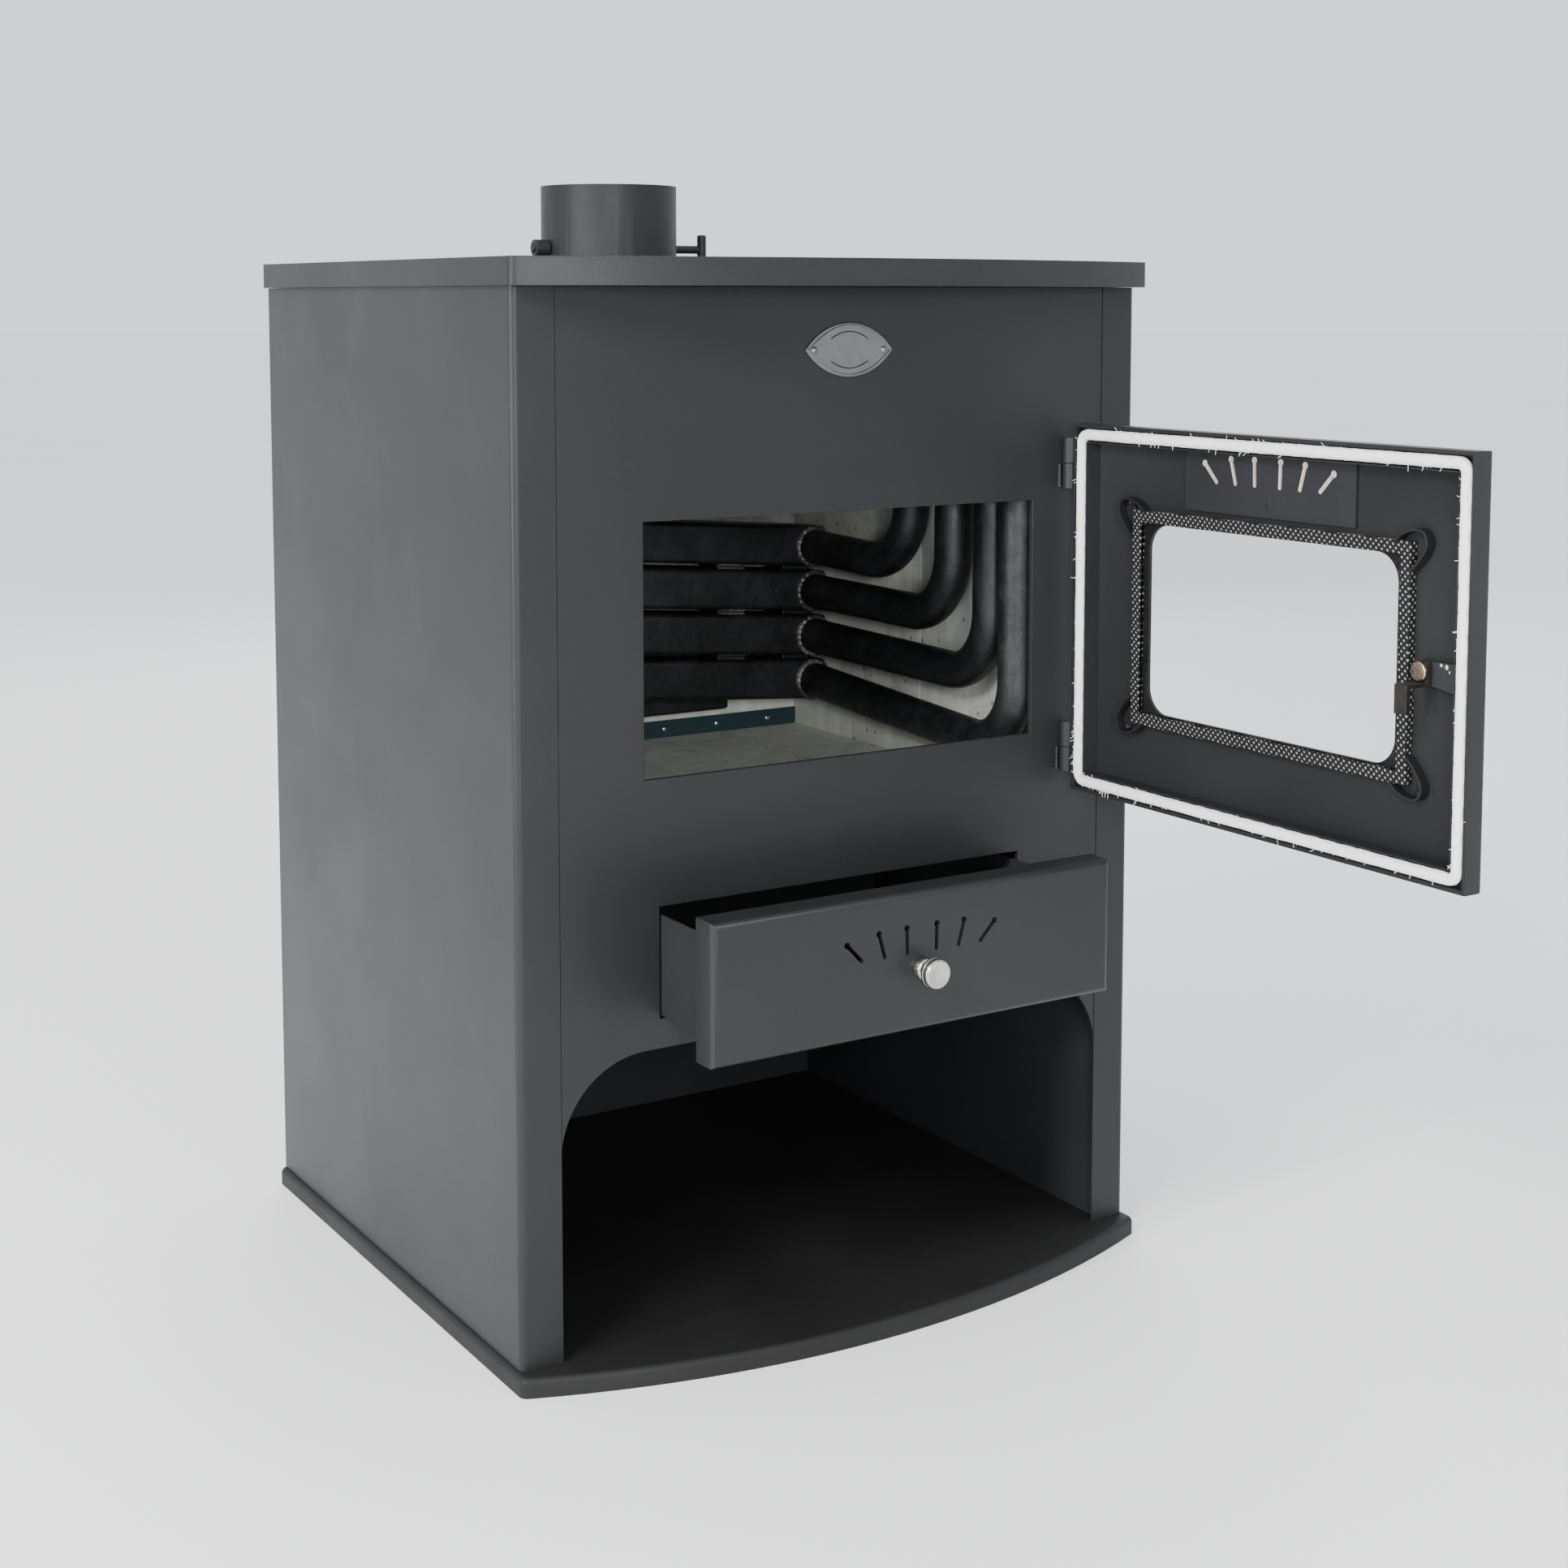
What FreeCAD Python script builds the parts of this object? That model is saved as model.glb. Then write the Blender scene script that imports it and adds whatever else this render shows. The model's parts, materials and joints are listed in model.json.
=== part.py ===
"""A sheet-steel wood burning stove with a back boiler, as an assembly of separate pieces.

Millimetres. +Z is up and the front faces -Y. The origin is on the floor, under the middle of the
casing. At rest the fire door stands open at a right angle and the ash drawer is pulled out a little.
"""
import FreeCAD, Part
import math
import os
import re
import Sketcher
from FreeCAD import Placement, Rotation, Vector

doc = FreeCAD.newDocument("wood_stove")
sheet = doc.addObject("Spreadsheet::Sheet", "Sizes")

# ---------------------------------------------------------------- driving dimensions
SIZES = [
    ("casing_width", 608, "outside of one side jacket to the other"),
    ("casing_depth", 525, "front panel face to the rear panel face"),
    ("casing_top", 861, "height of the top edge of the casing"),
    ("base_height", 16, "height of the base tray"),
    ("top_height", 22, "height of the top tray"),
    ("tray_sheet", 3, "sheet of the base, top and door trays"),
    ("side_overhang", 5, "trays beyond the casing at each side"),
    ("front_overhang", 10, "trays beyond the casing at the front corners"),
    ("front_bow", 62, "bow of the trays' front edge"),
    ("corner_round", 8, "plan radius of the trays' corners"),
    ("rest_ring", 40, "width of the flange that the top tray rests on"),
    ("stiffener_width", 60, "width of a channel under the base"),
    ("stiffener_pitch", 180, "spacing of the channels under the base"),
    ("jacket_sheet", 2, "sheet of the jackets and the rear panel"),
    ("flange_width", 36.5, "front flange of a side jacket"),
    ("rear_flange", 50, "rear flange of a side jacket"),
    ("seam_gap", 0.5, "gap at a seam between two cover sheets"),
    ("side_gap", 21, "air space between a jacket and the body"),
    ("rear_gap", 27, "air space between the rear panel and the body"),
    ("body_plate", 4, "plate of the welded body"),
    ("body_top", 840, "height of the top of the welded body"),
    ("panel_plate", 5, "plate of the front panel"),
    ("arch_top", 254.5, "height of the wood store's arch"),
    ("arch_round", 75, "radius of the arch's corners"),
    ("fire_width", 384, "width of the fire opening"),
    ("fire_bottom", 473, "lower edge of the fire opening"),
    ("fire_height", 204.5, "height of the fire opening"),
    ("ash_width", 358, "width of the ash drawer opening"),
    ("ash_bottom", 279, "lower edge of the ash drawer opening"),
    ("ash_height", 91, "height of the ash drawer opening"),
    ("shelf_top", 278.5, "top of the shelf over the wood store"),
    ("floor_top", 416, "top of the firebox floor"),
    ("floor_plate", 6, "plate of the firebox floor and baffle"),
    ("grate_width", 206, "cast grate, across"),
    ("grate_depth", 110, "cast grate, front to back"),
    ("grate_plate", 8, "cast grate, thickness"),
    ("grate_lap", 8, "grate on the floor around its hole"),
    ("grate_back", 20, "grate's front edge behind the front panel face"),
    ("grate_slot", 7, "width of a grate slot"),
    ("liner_inside", 214, "middle of the stove to a side liner's face"),
    ("liner_plate", 4, "plate of the liners"),
    ("liner_joint", 197, "joint of the side liners behind the front face"),
    ("liner_back", 421, "face of the rear liner behind the front face"),
    ("liner_top", 699, "top of the liners"),
    ("strip_height", 17, "height of the strip along the rear of the floor"),
    ("strip_plate", 3, "plate of that strip"),
    ("rivet_pitch", 60, "spacing of the strip's rivets"),
    ("rivet_radius", 3, "radius of the strip's and the badge's rivet heads"),
    ("rivet_head", 1.5, "height of a rivet head"),
    ("tube_size", 40, "square water tube, outside"),
    ("tube_wall", 3, "square water tube, wall"),
    ("tube_round", 5, "square water tube, corner radius"),
    ("tube_half", 208, "half length of a water tube"),
    ("tube_pitch", 44.6, "vertical spacing of the water tubes"),
    ("tube_first", 620.6, "height of the top water tube's middle"),
    ("tube_front", 354, "face of the water tubes behind the front face"),
    ("tube_tilt", 4.4, "fall of the water tubes towards the right, degrees"),
    ("link_width", 30, "width of a link between two water tubes"),
    ("link_place", 102, "middle of the stove to a link"),
    ("pipe_radius", 16.85, "inch pipe, outside radius"),
    ("pipe_wall", 3.2, "inch pipe, wall"),
    ("pipe_place", 195, "middle of the stove to a wall pipe"),
    ("pipe_bend", 60, "bend of a wall pipe, to its middle line"),
    ("latch_room", 10, "left wall pipes' uprights further back, clear of the latch hook"),
    ("pipe_trim", 5, "spare length of a wall pipe that is cut off square at the manifold"),
    ("leg_1", 186.5, "upright of the top wall pipe behind the front face"),
    ("leg_2", 120.5, "upright of the second wall pipe"),
    ("leg_3", 62, "upright of the third wall pipe"),
    ("leg_4", 24.5, "upright of the lowest wall pipe"),
    ("drop_1", 5, "fall of the top wall pipe from its tube to its bend"),
    ("drop_2", 1, "fall of the second wall pipe"),
    ("drop_3", 4, "fall of the third wall pipe"),
    ("drop_4", 20, "fall of the lowest wall pipe"),
    ("manifold_bottom", 700, "underside of the top manifolds"),
    ("header_bottom", 443, "underside of the lower header"),
    ("header_height", 32, "height of the lower header"),
    ("header_left", -208, "left end of the lower header"),
    ("header_right", 120, "right end of the lower header"),
    ("socket_radius", 20, "boiler socket, outside radius"),
    ("socket_bore", 15.15, "boiler socket, bore radius"),
    ("socket_reach", 20, "boiler socket beyond the rear panel"),
    ("return_place", -100, "sideways place of the return socket"),
    ("collar_radius", 65, "flue collar, outside radius"),
    ("collar_wall", 3, "flue collar, wall"),
    ("collar_flange", 10, "flue collar's flange beyond its wall"),
    ("collar_back", 416, "flue collar's middle behind the front face"),
    ("collar_height", 75, "flue collar above the top tray"),
    ("damper_height", 16, "damper spindle above the top tray"),
    ("damper_radius", 59, "damper disc radius"),
    ("damper_plate", 3, "damper disc thickness"),
    ("damper_rod", 4, "damper spindle radius"),
    ("damper_reach", 38, "handle's middle beyond the collar"),
    ("damper_grip", 29, "length of the damper's handle"),
    ("damper_grip_radius", 4.5, "radius of the damper's handle"),
    ("damper_nut_radius", 8, "radius of the nut on the damper's far end"),
    ("damper_nut", 14, "length of that nut"),
    ("hub_radius", 6.5, "hub of the damper disc"),
    ("badge_length", 85, "badge plate, across"),
    ("badge_height", 44, "badge plate, up"),
    ("badge_plate", 1.5, "badge plate, thickness"),
    ("badge_level", 809.5, "height of the badge plate's middle"),
    ("badge_rivet_place", 34, "middle of the badge to a rivet"),
    ("hinge_place", 226, "middle of the stove to the hinge axis"),
    ("hinge_out", 9, "hinge axis in front of the front panel face"),
    ("knuckle_radius", 6.5, "hinge knuckle, outside radius"),
    ("knuckle_half", 22, "length of one half of a hinge"),
    ("knuckle_gap", 0.4, "gap between the halves of a hinge"),
    ("hinge_low", 438, "lower end of the lower hinge"),
    ("hinge_high", 687, "lower end of the upper hinge"),
    ("hinge_weld", 5, "thickness of a hinge's weld strip"),
    ("pin_radius", 4, "hinge pin radius"),
    ("running_fit", 0.05, "radial clearance of a pin or spindle in its hole"),
    ("door_start", 19, "door's hinge edge from the front panel face, door open"),
    ("door_width", 445, "door tray, hinge edge to free edge"),
    ("door_bottom", 424.6, "lower edge of the door"),
    ("door_height", 319.4, "height of the door"),
    ("door_depth", 19.5, "depth of the door tray"),
    ("gasket_proud", 3, "gasket beyond the tray's rim"),
    ("gasket_width", 11, "gasket, across"),
    ("gasket_deep", 10.5, "gasket, front to back"),
    ("gasket_gap", 1, "tray wall to the gasket"),
    ("gasket_round", 12, "radius of the gasket's outer corners"),
    ("gasket_shut", 1.5, "gasket's face to the panel, door shut"),
    ("lip_sheet", 1, "inner lip of the gasket channel"),
    ("window_width", 278, "width of the window"),
    ("window_height", 160, "height of the window"),
    ("window_round", 22, "radius of the window's corners"),
    ("window_level", 583, "height of the window's middle"),
    ("glass_width", 310, "width of the glass with its tape"),
    ("glass_height", 182, "height of the glass with its tape"),
    ("glass_plate", 4, "thickness of the glass"),
    ("tape_width", 10, "width of the glass's tape"),
    ("tape_sheet", 1.5, "thickness of the glass's tape"),
    ("clip_size", 34, "leg of a glass clip"),
    ("clip_sheet", 2, "sheet of a glass clip"),
    ("clip_screw", 3, "radius of a clip screw's head"),
    ("latch_place", 413, "latch spindle from the front panel face, door open"),
    ("latch_level", 580.5, "height of the latch spindle"),
    ("latch_rod", 5, "radius of the latch spindle"),
    ("latch_dome", 7.5, "radius of the spindle's inner head"),
    ("latch_tip", 30, "latch spindle to the hook's tip"),
    ("hook_width", 12, "width of the latch hook"),
    ("hook_plate", 4, "thickness of the latch hook"),
    ("hook_riser", 11, "latch spindle to the outside of the hook's riser"),
    ("hook_clear", 2, "hook to the back of the front panel, door shut"),
    ("handle_throw", 28, "latch spindle to the handle's grip"),
    ("handle_reach", 40, "handle's grip beyond the door's face"),
    ("handle_grip", 9, "radius of the handle's grip"),
    ("air_slot", 1.7, "half width of an air slot"),
    ("air_slot_end", 2.7, "radius of an air slot's wide end"),
    ("air_slot_length", 20, "length of an air slot"),
    ("air_slot_first", 3, "middle to the first slot, less half a pitch"),
    ("air_slot_pitch", 22, "spacing of the air slots at their narrow ends"),
    ("air_slot_rise", 14, "knob to the air slots' narrow ends"),
    ("air_fan", 7, "fan of the air slots, degrees for one pitch squared"),
    ("shutter_width", 190, "width of an air shutter"),
    ("shutter_below", 11, "knob to a shutter's lower edge"),
    ("shutter_above", 38, "knob to a shutter's upper edge"),
    ("shutter_sheet", 2.2, "sheet of an air shutter"),
    ("shutter_gap", 0.3, "gap behind an air shutter"),
    ("air_travel", 6, "travel of an air shutter"),
    ("knob_rod", 3, "radius of a knob's rod"),
    ("knob_base", 9, "radius of a knob's foot"),
    ("knob_base_length", 9, "length of a knob's foot"),
    ("knob_neck", 5.5, "radius of a knob's neck"),
    ("knob_neck_length", 5, "length of a knob's neck"),
    ("knob_head", 12, "radius of a knob's head"),
    ("knob_head_length", 9, "length of a knob's head"),
    ("knob_gap", 0.3, "gap behind a knob's foot"),
    ("door_knob_level", 689.5, "height of the door's air knob"),
    ("drawer_out", 82, "drawer front's back face from the panel, as pulled out"),
    ("drawer_front_width", 386.6, "width of the drawer's front"),
    ("drawer_front_bottom", 269, "lower edge of the drawer's front"),
    ("drawer_front_height", 113.3, "height of the drawer's front"),
    ("drawer_front_depth", 26, "depth of the drawer's front"),
    ("drawer_sheet", 2, "sheet of the drawer"),
    ("drawer_side_gap", 1.7, "drawer box to the opening, each side"),
    ("drawer_bottom", 281, "underside of the drawer box"),
    ("drawer_height", 82, "height of the drawer box"),
    ("drawer_length", 300, "length of the drawer box"),
    ("runner_width", 15, "width of a drawer runner"),
    ("runner_height", 20, "height of a drawer runner's upright"),
    ("runner_length", 305, "length of a drawer runner"),
    ("drawer_knob_level", 319.5, "height of the drawer's knob"),
]

for row, (alias, value, note) in enumerate(SIZES, 1):
    sheet.set(f"A{row}", note)
    sheet.set(f"B{row}", str(value))
    sheet.setAlias(f"B{row}", alias)
doc.recompute()

# Places that follow from the driving dimensions.
DERIVED = {
    "half_width": "casing_width / 2",
    "front": "-casing_depth / 2",
    "back": "casing_depth / 2",
    "seam": "half_width - flange_width",
    "jacket_inside": "half_width - jacket_sheet",
    "side_outside": "jacket_inside - side_gap",
    "side_inside": "side_outside - body_plate",
    "rear_outside": "back - jacket_sheet - rear_gap",
    "rear_inside": "rear_outside - body_plate",
    "panel_back": "front + panel_plate",
    "tray_half": "half_width + side_overhang",
    "tray_corner": "front - front_overhang",
    "stove_top": "casing_top + top_height",
    "panel_clear": "panel_back + 1",
    "link_height": "tube_pitch * cos(tube_tilt * 1 deg) - tube_size",
    "collar_y": "front + collar_back",
    "damper_z": "stove_top + damper_height",
    "hinge_y": "front - hinge_out",
    "gasket_x": "hinge_place - hinge_out + gasket_shut",
    "rim_x": "gasket_x + gasket_proud",
    "face_x": "rim_x + door_depth",
    "skin_x": "face_x - tray_sheet",
    "door_y": "front - door_start",
    "door_mid_y": "door_y - door_width / 2",
    "door_mid_z": "door_bottom + door_height / 2",
    "window_z": "window_level",
    "latch_y": "front - latch_place",
    "hook_x": "hinge_place - hinge_out - panel_plate - hook_clear - hook_plate",
    "drawer_back_y": "front - drawer_out",
    "drawer_face_y": "drawer_back_y - drawer_front_depth",
    "drawer_half": "ash_width / 2 - drawer_side_gap",
    "manifold_top": "manifold_bottom + tube_size",
    "top_header_y": "front + liner_back + 10",
    "bow_radius": "(tray_half * tray_half + front_bow * front_bow) / (2 * front_bow)",
}
ALIASES = {alias for alias, value, note in SIZES}
WORD = re.compile(r"[a-z_][a-z_0-9]*")
FUNCTIONS = {"sqrt", "abs", "sin", "cos", "tan", "deg"}


def full(text):
    """The text with each size's name as the sheet's cell and each derived place written out."""
    def swap(match):
        word = match.group(0)
        if word in DERIVED:
            return "(" + full(DERIVED[word]) + ")"
        if word in ALIASES:
            return "Sizes." + word
        if word in FUNCTIONS:
            return word
        raise ValueError(f"no size is named {word}")
    return WORD.sub(swap, str(text))


def size(text):
    """The number that a text of sizes stands for."""
    return float(sheet.evalExpression(full(text)))


# ---------------------------------------------------------------- tools for making pieces
pieces = {}
counter = [0]


def fresh(name):
    counter[0] += 1
    return f"{name}_{counter[0]}"


def place(item, x, y, z, turn=None):
    if turn is not None:
        item.Placement = Placement(Vector(), turn)
    for letter, text in zip("xyz", (x, y, z)):
        item.setExpression(f"Placement.Base.{letter}", full(text))
    return item


def box(x, y, z, length, width, height, turn=None):
    item = doc.addObject("Part::Box", fresh("Box"))
    for field, text in (("Length", length), ("Width", width), ("Height", height)):
        item.setExpression(field, full(text))
    return place(item, x, y, z, turn)


def span(x, y, z):
    """A box from three pairs of places."""
    return box(x[0], y[0], z[0], f"({x[1]}) - ({x[0]})", f"({y[1]}) - ({y[0]})", f"({z[1]}) - ({z[0]})")


ALONG = {
    "x": Rotation(Vector(0, 1, 0), 90),
    "y": Rotation(Vector(1, 0, 0), -90),
    "z": Rotation(),
}


def rod(axis, x, y, z, radius, length):
    """A round bar from a place along an axis."""
    item = doc.addObject("Part::Cylinder", fresh("Rod"))
    item.setExpression("Radius", full(radius))
    item.setExpression("Height", full(length))
    return place(item, x, y, z, ALONG[axis])


def fuse(*items):
    if len(items) == 1:
        return items[0]
    item = doc.addObject("Part::MultiFuse", fresh("Fuse"))
    item.Shapes = list(items)
    item.Refine = True
    return item


def cut(base, *tools):
    item = doc.addObject("Part::Cut", fresh("Cut"))
    item.Base = base
    item.Tool = fuse(*tools)
    return item


def ring(axis, x, y, z, radius, bore, length):
    return cut(rod(axis, x, y, z, radius, length), rod(axis, x, y, z, bore, length))


def group(*items):
    item = doc.addObject("Part::Compound", fresh("Group"))
    item.Links = list(items)
    return item


def piece(label, item):
    item.Label = label
    pieces[label] = item
    return item


def rounded(axis, x, y, z, radius):
    """A block from three pairs of places, with its four edges along one axis rounded."""
    pairs = dict(x=x, y=y, z=z)
    first, second = [letter for letter in "xyz" if letter != axis]
    blocks = []
    for letter in (first, second):
        inset = dict(pairs)
        inset[letter] = (f"({pairs[letter][0]}) + ({radius})", f"({pairs[letter][1]}) - ({radius})")
        blocks.append(span(inset["x"], inset["y"], inset["z"]))
    for low in (0, 1):
        for high in (0, 1):
            spot = {axis: pairs[axis][0]}
            for letter, end in ((first, low), (second, high)):
                sign = "-" if end else "+"
                spot[letter] = f"({pairs[letter][end]}) {sign} ({radius})"
            blocks.append(rod(axis, spot["x"], spot["y"], spot["z"], radius,
                              f"({pairs[axis][1]}) - ({pairs[axis][0]})"))
    return fuse(*blocks)


def body_plane(body, role):
    return next(item for item in body.Origin.OriginFeatures if item.Role == role)


def new_sketch(body, role, offset):
    sketch = body.newObject("Sketcher::SketchObject", fresh("Sketch"))
    sketch.AttachmentSupport = [(body_plane(body, role), "")]
    sketch.MapMode = "FlatFace"
    sketch.setExpression("AttachmentOffset.Base.z", full(offset))
    return sketch


def bind(sketch, kind, *rest):
    """A sketch dimension that follows a text of sizes, which comes last."""
    index = sketch.addConstraint(Sketcher.Constraint(kind, *rest[:-1], size(rest[-1])))
    sketch.setExpression(f"Constraints[{index}]", full(rest[-1]))


def hold(sketch, geometry, end, x, y):
    bind(sketch, "DistanceX", -1, 1, geometry, end, x)
    bind(sketch, "DistanceY", -1, 1, geometry, end, y)


def draw_polygon(sketch, points):
    spots = [Vector(size(x), size(y), 0) for x, y in points]
    count = len(points)
    for index in range(count):
        sketch.addGeometry(Part.LineSegment(spots[index], spots[(index + 1) % count]))
    for index in range(count):
        sketch.addConstraint(Sketcher.Constraint("Coincident", index, 2, (index + 1) % count, 1))
    for index, (x, y) in enumerate(points):
        hold(sketch, index, 1, x, y)


def pad(body, sketch, length):
    item = body.newObject("PartDesign::Pad", fresh("Pad"))
    item.Profile = sketch
    item.setExpression("Length", full(length))
    return item


def prism(role, offset, length, points):
    body = doc.addObject("PartDesign::Body", fresh("Body"))
    sketch = new_sketch(body, role, offset)
    draw_polygon(sketch, points)
    pad(body, sketch, length)
    return body


# ---------------------------------------------------------------- base and top trays
def bowed_block(low, height, inset):
    """A block with the trays' plan: straight sides and back, and a bowed front."""
    half = f"tray_half - ({inset})"
    rear = f"back - ({inset})"
    corner = f"tray_corner + ({inset})"
    radius = f"(({half}) * ({half}) + front_bow * front_bow) / (2 * front_bow)"
    body = doc.addObject("PartDesign::Body", fresh("Body"))
    sketch = new_sketch(body, "XY_Plane", low)
    corners = [(half, corner), (half, rear), (f"-({half})", rear), (f"-({half})", corner)]
    spots = [Vector(size(x), size(y), 0) for x, y in corners]
    for index in range(3):
        sketch.addGeometry(Part.LineSegment(spots[index], spots[index + 1]))
    centre = Vector(0, spots[0].y - size("front_bow") + size(radius), 0)
    swing = math.asin(size(half) / size(radius))
    circle = Part.Circle(centre, Vector(0, 0, 1), size(radius))
    sketch.addGeometry(Part.ArcOfCircle(circle, -math.pi / 2 - swing, -math.pi / 2 + swing))
    for first, second in ((0, 1), (1, 2)):
        sketch.addConstraint(Sketcher.Constraint("Coincident", first, 2, second, 1))
    sketch.addConstraint(Sketcher.Constraint("Coincident", 2, 2, 3, 1))
    sketch.addConstraint(Sketcher.Constraint("Coincident", 3, 2, 0, 1))
    for index in range(3):
        hold(sketch, index, 1, *corners[index])
    hold(sketch, 2, 2, *corners[3])
    bind(sketch, "Radius", 3, radius)
    block = pad(body, sketch, height)
    return body, block


def bowed_tray_body(low, height):
    body, block = bowed_block(low, height, "0")
    doc.recompute()
    upright = [
        f"Edge{index}" for index, edge in enumerate(block.Shape.Edges, 1)
        if len(edge.Vertexes) == 2 and abs(edge.Vertexes[0].X - edge.Vertexes[1].X) < 1e-6
        and abs(edge.Vertexes[0].Y - edge.Vertexes[1].Y) < 1e-6
    ]
    rounds = body.newObject("PartDesign::Fillet", fresh("Fillet"))
    rounds.Base = (block, upright)
    rounds.setExpression("Radius", full("corner_round"))
    body.Tip = rounds
    return body


def base():
    hollow, _ = bowed_block("-1", "base_height - tray_sheet + 1", "tray_sheet")
    piece("base_plate", cut(bowed_tray_body("0", "base_height"), hollow))
    channels = []
    for step in (-1, 0, 1):
        middle = f"{step} * stiffener_pitch"
        ends = ("-tray_half + tray_sheet + 8", "tray_half - tray_sheet - 8")
        outer = span(ends, (f"{middle} - stiffener_width / 2", f"{middle} + stiffener_width / 2"),
                     ("0", "base_height - tray_sheet"))
        inner = span(ends, (f"{middle} - stiffener_width / 2 + tray_sheet",
                            f"{middle} + stiffener_width / 2 - tray_sheet"),
                     ("tray_sheet", "base_height"))
        channels.append(cut(outer, inner))
    piece("base_stiffeners", group(*channels))


def top():
    hollow, _ = bowed_block("casing_top + tray_sheet", "top_height - 2 * tray_sheet", "tray_sheet")
    mouth, _ = bowed_block("casing_top - 1", "tray_sheet + 2", "rest_ring")
    flue = rod("z", "0", "collar_y", "casing_top", "collar_radius + seam_gap", "top_height + 1")
    piece("top_plate", cut(bowed_tray_body("casing_top", "top_height"), hollow, mouth, flue))


# ---------------------------------------------------------------- welded body and covers
def welded_body():
    heights = ("base_height", "body_top - body_plate")
    depth = ("panel_back", "rear_inside")
    piece("body_side_left", span(("-side_outside", "-side_inside"), depth, heights))
    piece("body_side_right", span(("side_inside", "side_outside"), depth, heights))
    rear = span(("-side_outside", "side_outside"), ("rear_inside", "rear_outside"), heights)
    piece("body_rear", cut(rear, *socket_rods("rear_inside - 1", "body_plate + 2", "socket_radius + 0.5")))
    lid = span(("-side_outside", "side_outside"), ("panel_back", "rear_outside"),
               ("body_top - body_plate", "body_top"))
    flue = rod("z", "0", "collar_y", "body_top - body_plate - 1", "collar_radius - collar_wall",
               "body_plate + 2")
    piece("body_top", cut(lid, flue))
    panel = span(("-seam + seam_gap", "seam - seam_gap"), ("front", "panel_back"), ("base_height", "casing_top"))
    piece("front_panel", cut(panel, *panel_holes()))


def panel_holes():
    through = ("front - 1", "panel_back + 1")
    arch_low = "arch_top - arch_round"
    arch_half = "seam - arch_round"
    return [
        span(("-fire_width / 2", "fire_width / 2"), through, ("fire_bottom", "fire_bottom + fire_height")),
        span(("-ash_width / 2", "ash_width / 2"), through, ("ash_bottom", "ash_bottom + ash_height")),
        span((f"-({arch_half})", arch_half), through, ("0", "arch_top")),
        span(("-seam - 5", "seam + 5"), through, ("0", arch_low)),
        rod("y", f"-({arch_half})", through[0], arch_low, "arch_round", "panel_plate + 2"),
        rod("y", arch_half, through[0], arch_low, "arch_round", "panel_plate + 2"),
    ]


def covers():
    for label, sign in (("jacket_left", "-1"), ("jacket_right", "1")):
        outline = [
            ("half_width", "front"), ("half_width", "back"),
            ("half_width - rear_flange", "back"), ("half_width - rear_flange", "back - jacket_sheet"),
            ("jacket_inside", "back - jacket_sheet"), ("jacket_inside", "front + jacket_sheet"),
            ("seam", "front + jacket_sheet"), ("seam", "front"),
        ]
        points = [(f"{sign} * ({x})", y) for x, y in outline]
        piece(label, prism("XY_Plane", "base_height", "casing_top - base_height", points))
    half = "half_width - rear_flange - seam_gap"
    sheet_back = span((f"-({half})", half), ("back - jacket_sheet", "back"), ("base_height", "casing_top"))
    holes = socket_rods("back - jacket_sheet - 1", "jacket_sheet + 2", "socket_radius + 2")
    piece("rear_panel", cut(sheet_back, *holes))


def socket_rods(start, length, radius):
    """Bars along the two boiler sockets."""
    flow = rod("y", "pipe_place", start, "manifold_bottom + tube_size / 2", radius, length)
    back_flow = rod("y", "return_place", start, "header_bottom + header_height / 2", radius, length)
    return [flow, back_flow]


# ---------------------------------------------------------------- firebox
def firebox():
    floor = span(("-side_inside", "side_inside"), ("panel_back", "rear_inside"),
                 ("floor_top - floor_plate", "floor_top"))
    hole = span(("-grate_width / 2 + grate_lap", "grate_width / 2 - grate_lap"),
                ("front + grate_back + grate_lap", "front + grate_back + grate_depth - grate_lap"),
                ("floor_top - floor_plate - 1", "floor_top + 1"))
    piece("firebox_floor", cut(floor, hole))
    plate = span(("-grate_width / 2", "grate_width / 2"), ("front + grate_back", "front + grate_back + grate_depth"),
                 ("floor_top", "floor_top + grate_plate"))
    slots = []
    for step in range(6):
        low = f"front + grate_back + 17 + {step} * (grate_depth - 34 - grate_slot) / 5"
        slots.append(span(("-grate_width / 2 + 2 * grate_lap", "grate_width / 2 - 2 * grate_lap"),
                          (low, f"{low} + grate_slot"), ("floor_top - 1", "floor_top + grate_plate + 1")))
    piece("grate", cut(plate, *slots))
    piece("ash_shelf", span(("-side_inside", "side_inside"), ("panel_back", "rear_inside"),
                            ("shelf_top - body_plate", "shelf_top")))
    runners = []
    for sign in ("-1", "1"):
        outline = [
            ("ash_width / 2 + drawer_sheet", "shelf_top"),
            ("ash_width / 2 + drawer_sheet", "shelf_top + runner_height"),
            ("ash_width / 2", "shelf_top + runner_height"),
            ("ash_width / 2", "drawer_bottom - shutter_gap"),
            ("ash_width / 2 - runner_width", "drawer_bottom - shutter_gap"),
            ("ash_width / 2 - runner_width", "shelf_top"),
        ]
        points = [(f"{sign} * ({x})", z) for x, z in outline]
        runners.append(prism("XZ_Plane", "-(panel_back + runner_length)", "runner_length", points))
    piece("drawer_runners", group(*runners))
    liners()
    piece("baffle", span(("-pipe_place - tube_size / 2", "pipe_place + tube_size / 2"),
                         ("panel_clear", "front + tube_front"), ("manifold_top", "manifold_top + floor_plate")))


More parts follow.
